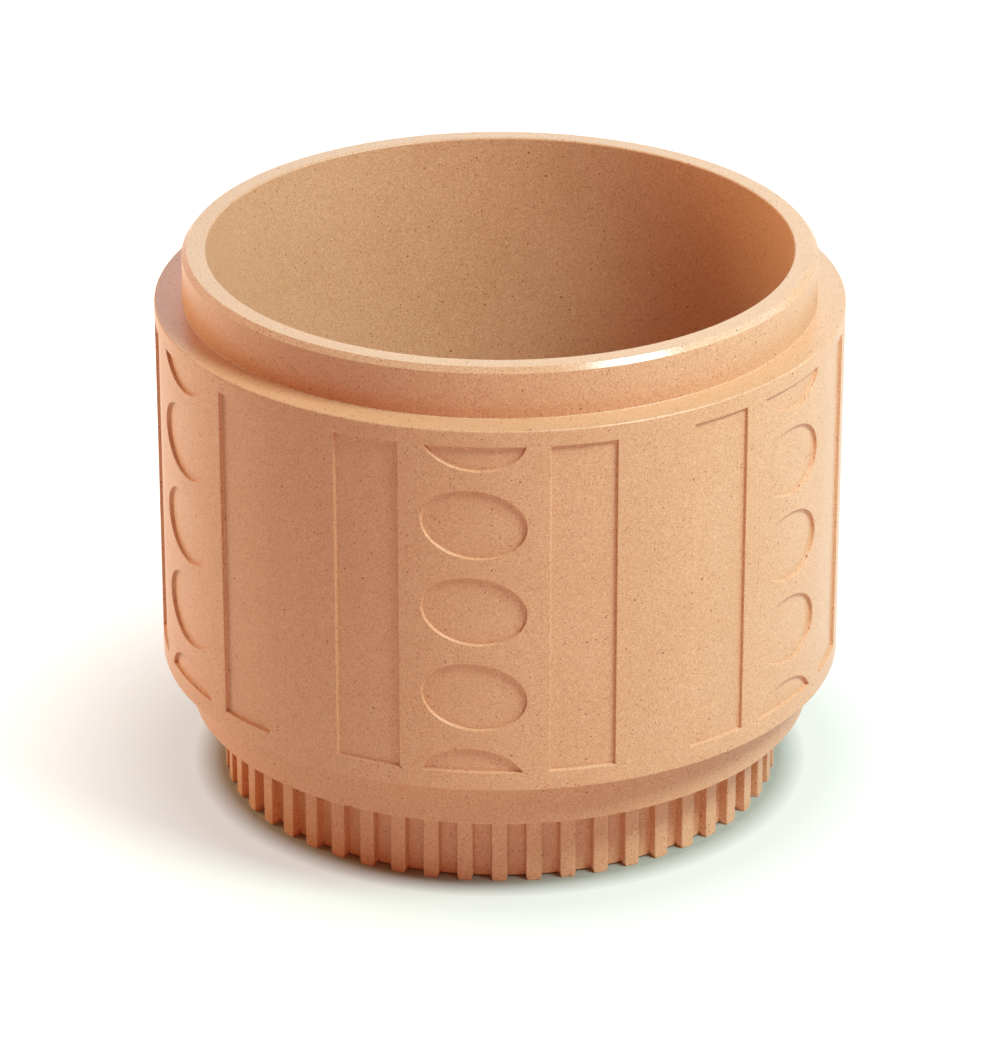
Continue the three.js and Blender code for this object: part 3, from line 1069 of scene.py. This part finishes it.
@dataclass
class PlantingLiner(Part):
    """The cup that holds the soil: rim, neck skirt, drafted wall and drained floor.

    Attributes:
        rim: Outer radius of the rim.
        top: Height of the rim.
        bottom: Height of the floor's underside.
        rim_width: From the rim's outside to the opening.
        neck: Height of the rim and its skirt.
        wall: The wall's thickness.
        floor: The floor's.
        roof: The rim's.
        draft: Lean of the wall, in radians.
        corner: Radius between wall and floor.
        bevel: Width and height of the bevel on the rim's outer edge.
        bevel_edge: Radius of the bevel's edges.
        inner_edge: Radius of the rim's inner edge.
        skirt_edge: Radius of the skirt's lower edges.
        hole: Radius of the drain holes.
        hole_margin: From the outer ring of holes to the floor's rounding.
        border_share: Radius of the drained plate over that of its outer ring of holes.
        columns: Lines of points round the axis.
        arc_steps: Stretches in each rounding.
    """

    place: Place = Place("liner_cup", "planting_liner", "liner_plastic", Body.LINER)
    rim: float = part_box("planting_liner")[1].x
    top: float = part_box("planting_liner")[1].z
    bottom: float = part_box("planting_liner")[0].z
    rim_width: float = 6.85 * MM
    neck: float = 14.93 * MM
    wall: float = 2.2 * MM
    floor: float = 2.6 * MM
    roof: float = 2.4 * MM
    draft: float = math.radians(4)
    corner: float = 6 * MM
    bevel: float = 1.5 * MM
    bevel_edge: float = 0.2 * MM
    inner_edge: float = 0.6 * MM
    skirt_edge: float = 0.2 * MM
    hole: float = 4 * MM
    hole_margin: float = 13 * MM
    border_share: float = 1.16
    columns: int = 240
    arc_steps: int = 6

    def inside(self, height: float) -> float:
        """Inner radius of the drafted wall at a height."""
        return self.rim - self.rim_width - math.tan(self.draft) * (self.top - height)

    def surface(self) -> Surface:
        """One profile carried round, which starts and ends on the border of the drained floor.

        Returns:
            The surface.
        """
        floor_top = self.bottom + self.floor
        outer_circle = self.inside(floor_top + self.corner) - self.corner - self.hole_margin
        border = outer_circle * self.border_share
        under = self.top - self.roof
        skirt_inside = self.rim - self.wall
        skirt_bottom = self.top - self.neck
        outside = self.inside(under) + self.wall
        foot = self.inside(self.bottom) + self.wall
        angles = even_angles(self.columns)
        surface = Surface()
        surface.turn([
            (border, floor_top, 0), (self.inside(floor_top), floor_top, self.corner),
            (self.inside(self.top), self.top, self.inner_edge),
            (self.rim - self.bevel, self.top, self.bevel_edge),
            (self.rim, self.top - self.bevel, self.bevel_edge),
            (self.rim, skirt_bottom, self.skirt_edge), (skirt_inside, skirt_bottom, self.skirt_edge),
            (skirt_inside, under, DEEP), (outside, under, DEEP),
            (foot, self.bottom, self.corner + self.floor), (border, self.bottom, 0)], angles, self.arc_steps)
        circles = (outer_circle / 2, outer_circle)
        HoleField(floor_top, self.floor, self.hole, border, circles).add_to(surface, angles)
        return surface


@dataclass
class RootScreen(Part):
    """The loose grid on the liner's floor.

    Attributes:
        radius: The grid's radius.
        top: Height of its upper face.
        bottom: Height of its feet's ends.
        thickness: Its thickness.
        hole: Radius of the holes.
        margin: From the outer ring of holes to the grid's edge.
        rings: Rings of holes.
        foot_ring: The ring that the feet stand in, counted from 0.
        foot: Radius of a foot.
        edge: Radius of the grid's edge.
        columns: Lines of points round the axis.
    """

    place: Place = Place("root_grid", "root_screen", "screen_plastic", Body.SCREEN)
    radius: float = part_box("root_screen")[1].x
    top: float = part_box("root_screen")[1].z
    bottom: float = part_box("root_screen")[0].z
    thickness: float = 2 * MM
    hole: float = 3.5 * MM
    margin: float = 16 * MM
    rings: int = 4
    foot_ring: int = 2
    foot: float = 4.5 * MM
    edge: float = 0.6 * MM
    columns: int = 144

    def surface(self) -> Surface:
        """A field of holes with six feet, and a rounded edge carried round it.

        Returns:
            The surface.
        """
        outer = self.radius - self.margin
        circles = tuple(outer * (i + 1) / self.rings for i in range(self.rings))
        border = outer + circles[0] / 2
        low = self.top - self.thickness
        angles = even_angles(self.columns)
        surface = Surface()
        surface.turn([(border, self.top, 0), (self.radius, self.top, self.edge),
                      (self.radius, low, self.edge), (border, low, 0)], angles)
        plate = HoleField(self.top, self.thickness, self.hole, border, circles, SOFT,
                          self.foot_ring, self.foot, low - self.bottom)
        plate.add_to(surface, angles)
        return surface


@dataclass
class BaseTray(Part):
    """The plinth band and the floor that closes the pot from below, with four screw bosses.

    Attributes:
        bottom: Height of the tray's underside.
        drum_low: Height of the drum's lower edge and of the flange's underside.
        screw: The middle of a screw.
        radius: Radius of the plinth band.
        flange: Radius of the flange and the skirt inside the drum.
        wall: Thickness of the plinth band and the flange.
        floor: Thickness of the floor.
        skirt_wall: Thickness of the skirt.
        skirt_height: From the flange's underside to the skirt's end.
        bead: How far the snap bead stands out.
        bead_rise: From the flange's underside to the bead.
        bead_height: Height of the bead.
        outlet: Radius of the outlet.
        screws: Screws in the circle.
        first_screw: Angle of the first.
        screw_hole: Radius of the screws' holes.
        boss: Radius of the bosses.
        boss_top: Height of their ends.
        hole_top: Height of the blind holes' ends.
        corner: Radius between wall and floor inside.
        lower_edge: Radius of the plinth's lower edge.
        ring_inside: How far the ring of bosses reaches inside the screws' circle.
        ring_outside: How far it reaches outside.
        ring_rows: Stretches across that ring.
        screw_columns: Stretches round the cell of a screw.
        columns: Lines of points round the axis.
    """

    place: Place = Place("plinth_tray", "base_tray", "tray_plastic")
    bottom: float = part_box("base_tray")[0].z
    drum_low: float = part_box("relief_shell")[0].z
    screw: Vector = (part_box("foot_screw_1")[0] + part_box("foot_screw_1")[1]) / 2
    radius: float = 91.6 * MM
    flange: float = 95.6 * MM
    wall: float = 2.4 * MM
    floor: float = 2.6 * MM
    skirt_wall: float = 2 * MM
    skirt_height: float = 9 * MM
    bead: float = 0.8 * MM
    bead_rise: float = 4 * MM
    bead_height: float = 1.2 * MM
    outlet: float = 7 * MM
    screws: int = 4
    first_screw: float = math.radians(45)
    screw_hole: float = 2.05 * MM
    boss: float = 4.05 * MM
    boss_top: float = 33.8 * MM
    hole_top: float = 32.3 * MM
    corner: float = 2 * MM
    lower_edge: float = 0.45 * MM
    ring_inside: float = 9 * MM
    ring_outside: float = 8.5 * MM
    ring_rows: int = 10
    screw_columns: int = 12
    columns: int = 240

    def surface(self) -> Surface:
        """The tray's surface.

        Two profiles are carried round, one inside and one outside the ring in which the screws lie. In
        that ring, a cell at each screw has a boss above and a blind hole below.

        Returns:
            The surface.
        """
        circle = math.hypot(self.screw.x, self.screw.y)
        first, last = circle - self.ring_inside, circle + self.ring_outside
        top = self.bottom + self.floor
        flange_top = self.drum_low + self.wall
        skirt_top = self.drum_low + self.skirt_height
        skirt_inside = self.flange - self.skirt_wall
        bead = self.flange + self.bead
        bead_low = self.drum_low + self.bead_rise
        bead_high = bead_low + self.bead_height
        inner_wall = self.radius - self.wall
        angles = even_angles(self.columns)
        surface = Surface()
        surface.turn([
            (last, self.bottom, 0), (self.radius, self.bottom, self.lower_edge),
            (self.radius, self.drum_low, SLIGHT), (self.flange, self.drum_low, SOFT),
            (self.flange, bead_low, SLIGHT), (bead, bead_low, SOFT), (bead, bead_high, SOFT),
            (self.flange, bead_high, SLIGHT), (self.flange, skirt_top, FULL),
            (skirt_inside, skirt_top, FULL), (skirt_inside, flange_top, DEEP),
            (inner_wall, flange_top, HALF), (inner_wall, top, self.corner), (last, top, 0)], angles)
        surface.turn([(first, top, 0), (self.outlet, top, EASED),
                      (self.outlet, self.bottom, EASED), (first, self.bottom, 0)], angles)
        step = TURN / self.columns
        turns = self.first_screw + even_angles(self.screws)
        near = (np.arange(self.screw_columns + 1) - self.screw_columns / 2) * step
        loop = sector_loop(first, last, near, self.ring_rows)
        centre = np.array([0.0, -circle])
        boss = Section(self.boss_top - top, 1.0 * MM, HALF, math.radians(0.5))
        hole = Section(self.hole_top - self.bottom, SOFT, 0.1 * MM)
        fields = ((boss, self.boss, top, 3), (hole, self.screw_hole, self.bottom, 2))
        for section, radius, height, steps in fields:
            cell = field_cell(loop, ring_outline(loop, centre, radius), section, centre, floor_steps=steps)
            surface.repeat(plate_points(cell, height, 1), turns)
        plain = near[-1] + np.arange(self.columns // self.screws - self.screw_columns + 1) * step
        radii = np.linspace(first, last, self.ring_rows + 1)[:, None]
        for height in (top, self.bottom):
            surface.repeat(polar(radii, plain[None], height), turns, Closed.NONE)
        return surface


@dataclass
class FootRing(Part):
    """The ribbed foot: upright ribs that stand on the floor, and a wall that stops short of it.

    Attributes:
        top: Height of the foot's upper face.
        screw: The middle of a screw.
        ribs: Ribs round the foot.
        turn: Angle of the first rib.
        face: Radius of the ribs' faces.
        depth: How far the ribs stand out from the wall.
        wall: The wall's thickness.
        face_half: Half the angle of a rib's face.
        root_half: Half the angle of a rib where it meets the wall.
        toe_half: Half the angle of a rib on the floor.
        toe: Height of the slants that narrow a rib to its toe.
        notch: Height of the wall's lower edge.
        flange: Thickness of the flange.
        flange_reach: How far the flange reaches inside the screws' circle.
        screws: Screws in the circle.
        first_screw: Angle of the first.
        screw_hole: Radius of the screws' holes.
        edge: Radius of the foot's edges.
        edge_steps: Stretches in each of them.
        ring_half: Half the width of the ring in which the screws lie.
        ring_rows: Stretches across that ring.
        cell_half: Half the angle of the cell of a screw.
    """

    place: Place = Place("ribbed_foot", "foot_ring", "foot_plastic")
    top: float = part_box("foot_ring")[1].z
    screw: Vector = (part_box("foot_screw_1")[0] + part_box("foot_screw_1")[1]) / 2
    ribs: int = 52
    turn: float = math.radians(4.1)
    face: float = 82.4 * MM
    depth: float = 2.75 * MM
    wall: float = 2.6 * MM
    face_half: float = math.radians(1.58)
    root_half: float = math.radians(1.74)
    toe_half: float = math.radians(1.33)
    toe: float = 1.5 * MM
    notch: float = 0.4 * MM
    flange: float = 2.6 * MM
    flange_reach: float = 9 * MM
    screws: int = 4
    first_screw: float = math.radians(45)
    screw_hole: float = 2.05 * MM
    edge: float = 0.22 * MM
    edge_steps: int = 3
    ring_half: float = 6.5 * MM
    ring_rows: int = 8
    cell_half: float = math.radians(6)

    def __post_init__(self) -> None:
        """Works out the circle of the screws and the ring round it."""
        self.circle = math.hypot(self.screw.x, self.screw.y)
        self.first, self.last = self.circle - self.ring_half, self.circle + self.ring_half

    def rib_line(self) -> np.ndarray:
        """Half of one rib's level section, from the middle of its face to the middle of the gap.

        The corners are rounded in a plane where the way round is the angle times the wall's radius.

        Returns:
            Angle from the rib's middle, and radius.
        """
        root = self.face - self.depth
        gap = math.pi / self.ribs
        line = round_corners([
            (0, self.face, 0), (self.toe_half * root, self.face, 0), (self.face_half * root, self.face, SOFT),
            (self.root_half * root, root, SOFT), (gap * root, root, 0)])
        return line / np.array([root, 1])

    def surface(self) -> Surface:
        """The foot's surface.

        A closed section is carried round the pot. Its outer radius follows the ribs. Its lower end has two
        steps: the rib's, which rises from the floor along the slants beside the toe, and the wall's.

        Returns:
            The surface.
        """
        half = self.rib_line()
        angle = np.concatenate([half[:-1, 0], (TURN / self.ribs - half[:0:-1, 0])])
        radius = np.concatenate([half[:-1, 1], half[:0:-1, 1]])
        offset = np.minimum(angle, TURN / self.ribs - angle)
        root = self.face - self.depth
        slant = (offset - self.toe_half) / (self.face_half - self.toe_half) * self.toe
        rise = np.where(radius > root + SEAM, np.clip(slant, 0, self.toe), self.notch)
        angles = (self.turn + even_angles(self.ribs)[:, None] + angle[None]).ravel()
        radius, rise = np.tile(radius, self.ribs), np.tile(rise, self.ribs)
        inside, shelf = root - self.wall, root - self.edge
        under = self.top - self.flange
        quarter = np.linspace(0, RIGHT_ANGLE, self.edge_steps + 1)
        arc = list(zip(self.edge * (1 - np.cos(quarter)), self.edge * (1 - np.sin(quarter))))
        section = [(self.last, self.top)]
        section += [(radius - b, self.top - a) for a, b in arc]
        section += [(radius - a, rise + b) for a, b in arc]
        section += [(shelf, rise), (shelf, self.notch)]
        section += [(inside + b, self.notch + a) for a, b in arc]
        section += [(inside, under), (self.last, under)]
        radii, heights = (np.stack([np.broadcast_to(point[k], angles.shape) for point in section])
                          for k in range(2))
        surface = Surface()
        surface.add(polar(radii, angles[None], heights))
        tip = self.circle - self.flange_reach
        surface.turn([(self.first, under, 0), (tip, under, EASED), (tip, self.top, EASED),
                      (self.first, self.top, 0)], angles)
        self.add_flange(surface, angles)
        return surface

    def add_flange(self, surface: Surface, angles: np.ndarray) -> None:
        """Adds the flange's ring in which the screws lie, with a hole cell at each screw.

        Args:
            surface: The surface that takes it.
            angles: The columns round the foot.
        """
        start, stop = (int(np.argmin(np.abs(angles - self.first_screw - side)))
                       for side in (-self.cell_half, self.cell_half))
        loop = sector_loop(self.first, self.last, angles[start:stop + 1], self.ring_rows)
        centre = polar(self.circle, self.first_screw, 0.0)[:2]
        cell = hole_cell(loop, ring_outline(loop, centre, self.screw_hole), self.flange, SLIGHT)
        turns = even_angles(self.screws)
        surface.repeat(plate_points(cell, self.top), turns)
        wide = np.concatenate([angles, angles + TURN])
        plain = wide[stop:start + len(angles) // self.screws + 1]
        radii = np.linspace(self.first, self.last, self.ring_rows + 1)[:, None]
        for height in (self.top, self.top - self.flange):
            surface.repeat(polar(radii, plain[None], height), turns, Closed.NONE)


@dataclass
class DrainPlug(Part):
    """The rubber stopper in the tray's outlet, with a pull tab.

    Attributes:
        head: Radius of the head.
        top: Height of the tab's end.
        bottom: Height of the stem's end.
        stem: Radius of the stem.
        tip: How much narrower the stem's end is.
        tip_height: Height of the stem's narrowing end.
        seat: Height of the head's underside.
        thickness: Thickness of the head.
        rim: Width of the head's level rim.
        dish: Width of the rim and of the slope inside it.
        sink: How far the head is sunk inside the slope.
        tab_width: Width of the tab.
        tab_thickness: Its thickness.
        squareness: The power that squares the tab's outline.
        columns: Lines of points round the axis.
    """

    place: Place = Place("outlet_stopper", "drain_plug", "plug_rubber", Body.PLUG)
    head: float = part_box("drain_plug")[1].x
    top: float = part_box("drain_plug")[1].z
    bottom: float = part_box("drain_plug")[0].z
    stem: float = 6.7 * MM
    tip: float = 1 * MM
    tip_height: float = 1.5 * MM
    seat: float = 26.1 * MM
    thickness: float = 2.4 * MM
    rim: float = 2 * MM
    dish: float = 2.5 * MM
    sink: float = 0.2 * MM
    tab_width: float = 10 * MM
    tab_thickness: float = 3 * MM
    squareness: float = 0.4
    columns: int = 64

    def surface(self) -> Surface:
        """A turned body, and a cell on its head that rises into the tab.

        The tab's outline is the curve (cosine and sine, each to the power of its squareness) of its two
        half widths.

        Returns:
            The surface.
        """
        head_top = self.seat + self.thickness
        sunk = head_top - self.sink
        border = self.head - self.dish
        angles = even_angles(self.columns)
        surface = Surface()
        surface.turn([
            (0, self.bottom, 0), (self.stem - self.tip, self.bottom, FULL),
            (self.stem, self.bottom + self.tip_height, HALF), (self.stem, self.seat, SOFT),
            (self.head, self.seat, HALF), (self.head, head_top, 0.9 * MM),
            (self.head - self.rim, head_top, 0.1 * MM), (border, sunk, 0)], angles)
        loop = polar(border, angles, 0.0)[:, :2]
        turn = np.arctan2(loop[:, 1], loop[:, 0])
        outline = np.stack([
            np.sign(wave) * np.abs(wave) ** self.squareness * width / 2
            for wave, width in ((np.cos(turn), self.tab_width), (np.sin(turn), self.tab_thickness))], axis=1)
        tab = Section(self.top - sunk, 1.0 * MM, HALF, math.radians(1))
        cell = field_cell(loop, outline, tab, np.zeros(2), land_steps=3, floor_steps=3)
        surface.add(plate_points(cell, sunk, 1))
        return surface


@dataclass
class FootScrew(Part):
    """A pan-head screw with a cross recess, driven up through the foot into the tray.

    Attributes:
        number: Which of the four.
        crease: Its edges that turn more than this, in degrees, stay sharp.
        shaft: Radius of the shaft's core.
        crest: Radius of the thread's crest.
        pitch: From crest to crest.
        thread_end: From the screw's tip to the end of the thread.
        thread_fade: Length over which the thread fades at either end.
        point: Length of the point.
        head: Radius of the head.
        head_height: Its height.
        dome: Share of that height that the dome takes.
        recess: Depth of the cross recess.
        arm: Length of its arms.
        arm_half: Half their width.
        arm_taper: How steeply they narrow at their ends.
        slope: Width of the recess's sloping wall.
        shallowest: Least share of the depth, at the arms' ends.
        overlap: How far the shaft reaches into the head.
        head_edge: Width and height of the bevel under the head.
        columns: Lines of points round the head.
        rings: Lines of points from the head's middle to its side.
        shaft_columns: Lines of points round the shaft.
        shaft_rows: Lines of points along the shaft.
    """

    number: int
    crease: float = 35
    shaft: float = 1.35 * MM
    crest: float = 1.85 * MM
    pitch: float = 0.8 * MM
    thread_end: float = 1.2 * MM
    thread_fade: float = 0.8 * MM
    point: float = 1.6 * MM
    head: float = 3.5 * MM
    head_height: float = 2.2 * MM
    dome: float = 0.85
    recess: float = 1.3 * MM
    arm: float = 1.9 * MM
    arm_half: float = 0.42 * MM
    arm_taper: float = 0.6
    slope: float = 0.15 * MM
    shallowest: float = 0.15
    overlap: float = 0.2 * MM
    head_edge: float = 0.1 * MM
    columns: int = 96
    rings: int = 25
    shaft_columns: int = 24
    shaft_rows: int = 121

    @property
    def place(self) -> Place:
        """Where the screw belongs, by its number."""
        return Place(f"turned_screw_{self.number}", f"foot_screw_{self.number}", "screw_steel")

    def head_points(self, low: float) -> np.ndarray:
        """The head's underside as seen from the floor, domed, with the cross sunk in it.

        The dome is a quarter of an ellipse in section. The recess is deepest inside a cross whose arms
        narrow with the distance from it, and fades over a short slope.

        Args:
            low: Height of the head's lowest point.

        Returns:
            A grid of points: radius by angle.
        """
        share = np.linspace(0, 1, self.rings)[:, None]
        angle = even_angles(self.columns)[None]
        radius = self.head * np.sin(share * RIGHT_ANGLE)
        height = low + self.dome * self.head_height * (1 - np.cos(share * RIGHT_ANGLE))
        x, y = np.abs(radius * np.sin(angle)), np.abs(radius * np.cos(angle))
        along, across = np.maximum(x, y), np.minimum(x, y)
        inside = np.minimum(self.arm_half - across, (self.arm - along) * self.arm_taper)
        deepness = np.clip(1 + self.shallowest - along / self.arm, self.shallowest, 1)
        depth = self.recess * np.clip(inside / self.slope, 0, 1) * deepness
        return polar(radius, angle, height + depth)

    def thread_points(self, low: float, high: float) -> np.ndarray:
        """The threaded shaft.

        The radius is the core's plus the thread's height times a sharp wave of the distance along the
        axis less the share of a turn, and it fades to nothing at both ends.

        Args:
            low: Where the shaft starts, under the head.
            high: The screw's tip.

        Returns:
            A grid of points: height by angle.
        """
        height = np.linspace(low, high, self.shaft_rows)[:, None]
        angle = even_angles(self.shaft_columns)[None]
        wave = np.abs(((height - low) / self.pitch - angle / TURN) % 1 - 0.5) * 2
        from_ends = np.minimum(height - low, high - self.thread_end - height)
        fade = np.clip(from_ends / self.thread_fade, 0, 1)
        core = self.shaft * np.clip((high - height) / self.point, 0, 1) ** 0.6
        return polar(core + (self.crest - self.shaft) * fade * wave ** 3, angle, height)

    def surface(self) -> Surface:
        """The head, its side and the shaft, moved to the screw's place in the circle.

        Returns:
            The surface.
        """
        low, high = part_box(self.place.node)
        seat = low.z + self.head_height
        side = np.array([
            (self.head, low.z + self.dome * self.head_height), (self.head, seat - self.head_edge),
            (self.head - self.head_edge, seat), (self.shaft, seat)])
        surface = Surface()
        surface.add(self.head_points(low.z))
        surface.add(lathe(side, even_angles(self.columns)))
        surface.add(self.thread_points(seat - self.overlap, high.z))
        centre = (low + high) / 2
        surface.grids = [grid + np.array([centre.x, centre.y, 0]) for grid in surface.grids]
        return surface


@dataclass(frozen=True)
class SoftBox:
    """A rectangular lamp that looks at the pot.

    Attributes:
        name: The lamp's name.
        azimuth: Where it stands, in degrees from the camera's side, positive to the right.
        elevation: Degrees above the horizon.
        distance: From the pot's middle.
        size: Width and height.
        watts: Power.
        colour: Colour, linear.
        in_gloss: Whether the lamp itself shows as a highlight.
    """

    name: str
    azimuth: float
    elevation: float
    distance: float
    size: tuple[float, float]
    watts: float
    colour: Colour
    in_gloss: bool = True

    def make(self, target: Vector, camera_turn: float) -> None:
        """Makes the lamp.

        Args:
            target: The point that it looks at.
            camera_turn: The camera's own angle round the pot, in radians.
        """
        data = bpy.data.lights.new(self.name, "AREA")
        data.shape = "RECTANGLE"
        data.size, data.size_y = self.size
        data.energy = self.watts
        data.color = self.colour
        lamp = bpy.data.objects.new(self.name, data)
        turn, rise = math.radians(self.azimuth) + camera_turn, math.radians(self.elevation)
        away = Vector((math.sin(turn) * math.cos(rise), -math.cos(turn) * math.cos(rise), math.sin(rise)))
        lamp.location = target + away * self.distance
        lamp.rotation_euler = away.to_track_quat("Z", "Y").to_euler()
        lamp.visible_camera = False
        lamp.visible_glossy = self.in_gloss
        bpy.context.scene.collection.objects.link(lamp)


@dataclass
class Studio:
    """Floor, lamps, world and camera.

    Attributes:
        target: The point that the lamps look at.
        camera_turn: The camera's angle round the pot.
        camera_tilt: Its tilt, from looking straight down.
        camera_away: Its distance from the pot's axis.
        camera_height: Its height.
        lens: Its focal length, in millimetres.
        sensor: Its sensor's width, in millimetres.
        floor_size: Side of the floor.
        world_light: The world's light, linear.
        floor_colour: The floor's colour where it is seen, linear.
        floor_bounce: Its colour for the light that it throws back on the pot.
        contact_shadow_glows: Strength of each of the floor's two glow ramps, and the distances from the
        pot's axis between which it rises. They are nothing under the pot and rise beside the foot, so they
        paint a contact shadow round it.
        lamps: The lamps.
    """

    target: Vector = Vector((0.0, 0.0, 0.08))
    camera_turn: float = math.radians(4.2)
    camera_tilt: float = math.radians(65.014)
    camera_away: float = 1.4306
    camera_height: float = 0.7415
    lens: float = 183.8
    sensor: float = 36
    floor_size: float = 8.0
    world_light: Colour = (0.24, 0.065, 0.03)
    floor_colour: Colour = (0.36, 0.33, 0.28)
    floor_bounce: Colour = (0.80, 0.72, 0.64)
    # Painted shadow: glow strengths that rise away from the pot's axis, so the floor is darker round the
    # foot.
    contact_shadow_glows: tuple[tuple[float, float, float], ...] = ((0.49, 0.0835, 0.092), (0.50, 0.098, 0.170))
    lamps: tuple[SoftBox, ...] = (
        SoftBox("key", 57, 51, 1.15, (0.4, 0.3), 16.6, (0.63, 0.98, 1.0)),
        SoftBox("window", 80, 44, 1.15, (0.9, 0.3), 2.5, (0.5, 0.88, 1.0)),
        SoftBox("far_left", -120, 15, 1.15, (0.6, 0.6), 12.0, (0.95, 0.92, 0.64), False),
        SoftBox("behind", 180, 22, 1.15, (0.6, 0.6), 1.6, (0.4, 0.85, 1.0)),
        SoftBox("right", 105, 22, 1.15, (0.6, 0.6), 3.2, (0.3, 0.75, 1.0)),
        SoftBox("overhead", 0, 85, 1.15, (0.6, 0.6), 1.4, (0.5, 0.95, 1.0)),
        SoftBox("front", 5, 8, 1.3, (1.0, 0.6), 1.9, (1.0, 0.33, 0.2)),
    )

    def camera(self) -> None:
        """Makes the camera, at the photograph's angle, and makes it the scene's own."""
        data = bpy.data.cameras.new("camera")
        data.lens = self.lens
        data.sensor_width = self.sensor
        data.sensor_fit = "AUTO"
        data.clip_start = 0.05
        camera = bpy.data.objects.new("camera", data)
        camera.location = Vector(polar(self.camera_away, self.camera_turn, self.camera_height))
        camera.rotation_euler = Euler((self.camera_tilt, 0.0, self.camera_turn))
        bpy.context.scene.collection.objects.link(camera)
        bpy.context.scene.camera = camera

    def world(self) -> None:
        """Makes the world: white to the camera and in gloss, and a weak warm light on everything."""
        world = bpy.data.worlds.new("studio")
        bpy.context.scene.world = world
        world.use_nodes = True
        tree = world.node_tree
        tree.nodes.clear()
        output = tree.nodes.new("ShaderNodeOutputWorld")
        choice = tree.nodes.new("ShaderNodeMixShader")
        tree.links.new(self.seen(tree), choice.inputs[0])
        for place, colour in ((1, self.world_light), (2, WHITE)):
            shade = tree.nodes.new("ShaderNodeBackground")
            shade.inputs["Color"].default_value = (*colour, 1.0)
            tree.links.new(shade.outputs[0], choice.inputs[place])
        tree.links.new(choice.outputs[0], output.inputs["Surface"])

    @staticmethod
    def seen(tree: bpy.types.NodeTree) -> Socket:
        """Tells the rays that see a surface from those that only carry light.

        Args:
            tree: The node tree that it is for.

        Returns:
            A socket that is 1 for rays from the camera, from gloss and through glass, and 0 for others.
        """
        path = tree.nodes.new("ShaderNodeLightPath")
        socket = path.outputs["Is Camera Ray"]
        for name in ("Is Glossy Ray", "Is Transmission Ray"):
            more = tree.nodes.new("ShaderNodeMath")
            more.operation = "MAXIMUM"
            tree.links.new(socket, more.inputs[0])
            tree.links.new(path.outputs[name], more.inputs[1])
            socket = more.outputs[0]
        return socket

    def floor(self) -> None:
        """Makes the floor, a level square.

        Where it is seen it is a pale floor with the pot's real shadow, to which a glow is added that rises
        from nothing under the pot, steeply beside the foot and then slowly, until the floor is white. That
        rise is painted shade: whatever the light, it darkens the floor round the foot as a painted contact
        shadow, and it whites out the pot's cast shadow further away.
        """
        side = np.linspace(-self.floor_size / 2, self.floor_size / 2, 9)
        x, y = np.meshgrid(side, side)
        surface = Surface()
        surface.add(np.stack([x, y, np.zeros_like(x)], axis=-1), Closed.NONE)
        floor = surface.make("floor", Part.crease)
        floor.modifiers.clear()
        nodes = Nodes("floor_white_painted_contact_shadow")
        # Painted shadow: the glow is nothing under the pot and rises with the distance from its axis, so the
        # floor stays dark round the foot whatever the light. The lit share keeps the real shadow.
        away = nodes.add("VectorMath", {0: nodes.place}, operation="LENGTH").outputs["Value"]
        near, far = (nodes.ramp(away, 0.0, top, start, stop) for top, start, stop in self.contact_shadow_glows)
        strength = nodes.math("ADD", near, far)
        glow = nodes.add("Emission", {"Color": WHITE, "Strength": strength})
        lit = nodes.add("BsdfDiffuse", {"Color": self.floor_colour})
        both = nodes.add("AddShader", {0: lit.outputs[0], 1: glow.outputs[0]})
        plain = nodes.add("BsdfDiffuse", {"Color": self.floor_bounce})
        choice = nodes.add("MixShader", {0: self.seen(nodes.tree), 1: plain.outputs[0], 2: both.outputs[0]})
        nodes.tree.links.new(choice.outputs[0], nodes.tree.nodes["Material Output"].inputs["Surface"])
        nodes.tree.nodes.remove(nodes.shader)
        floor.data.materials.append(nodes.material)

    def build(self) -> None:
        """Makes everything round the pot."""
        bpy.context.scene.view_settings.view_transform = "Standard"
        self.camera()
        self.world()
        self.floor()
        for lamp in self.lamps:
            lamp.make(self.target, self.camera_turn)


def main() -> None:
    """Builds the studio and the pot's pieces."""
    logging.basicConfig(level=logging.INFO, format="%(name)s %(message)s")
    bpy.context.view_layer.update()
    Studio().build()
    plastic = SpeckledPlastic("terracotta_plastic").make()
    rim_plastic = SpeckledPlastic("terracotta_polished_rim", polish=(90.2 * MM, 162.4 * MM)).make()
    dark_plastic = SpeckledPlastic("screen_plastic", (0.42, 0.19, 0.10), roughness=0.5).make()
    rubber, zinc = STOPPER_RUBBER.make(), SCREW_ZINC.make()
    parts = [(ReliefShell(), plastic), (PlantingLiner(), rim_plastic), (BaseTray(), plastic),
             (FootRing(), plastic), (RootScreen(), dark_plastic), (DrainPlug(), rubber)]
    parts += [(FootScrew(number), zinc) for number in range(1, 5)]
    for part, material in parts:
        piece = part.build(material)
        LOG.info("%s: %d faces", piece.name, len(piece.data.polygons))
    bpy.context.view_layer.update()


if __name__ == "__main__":
    main()
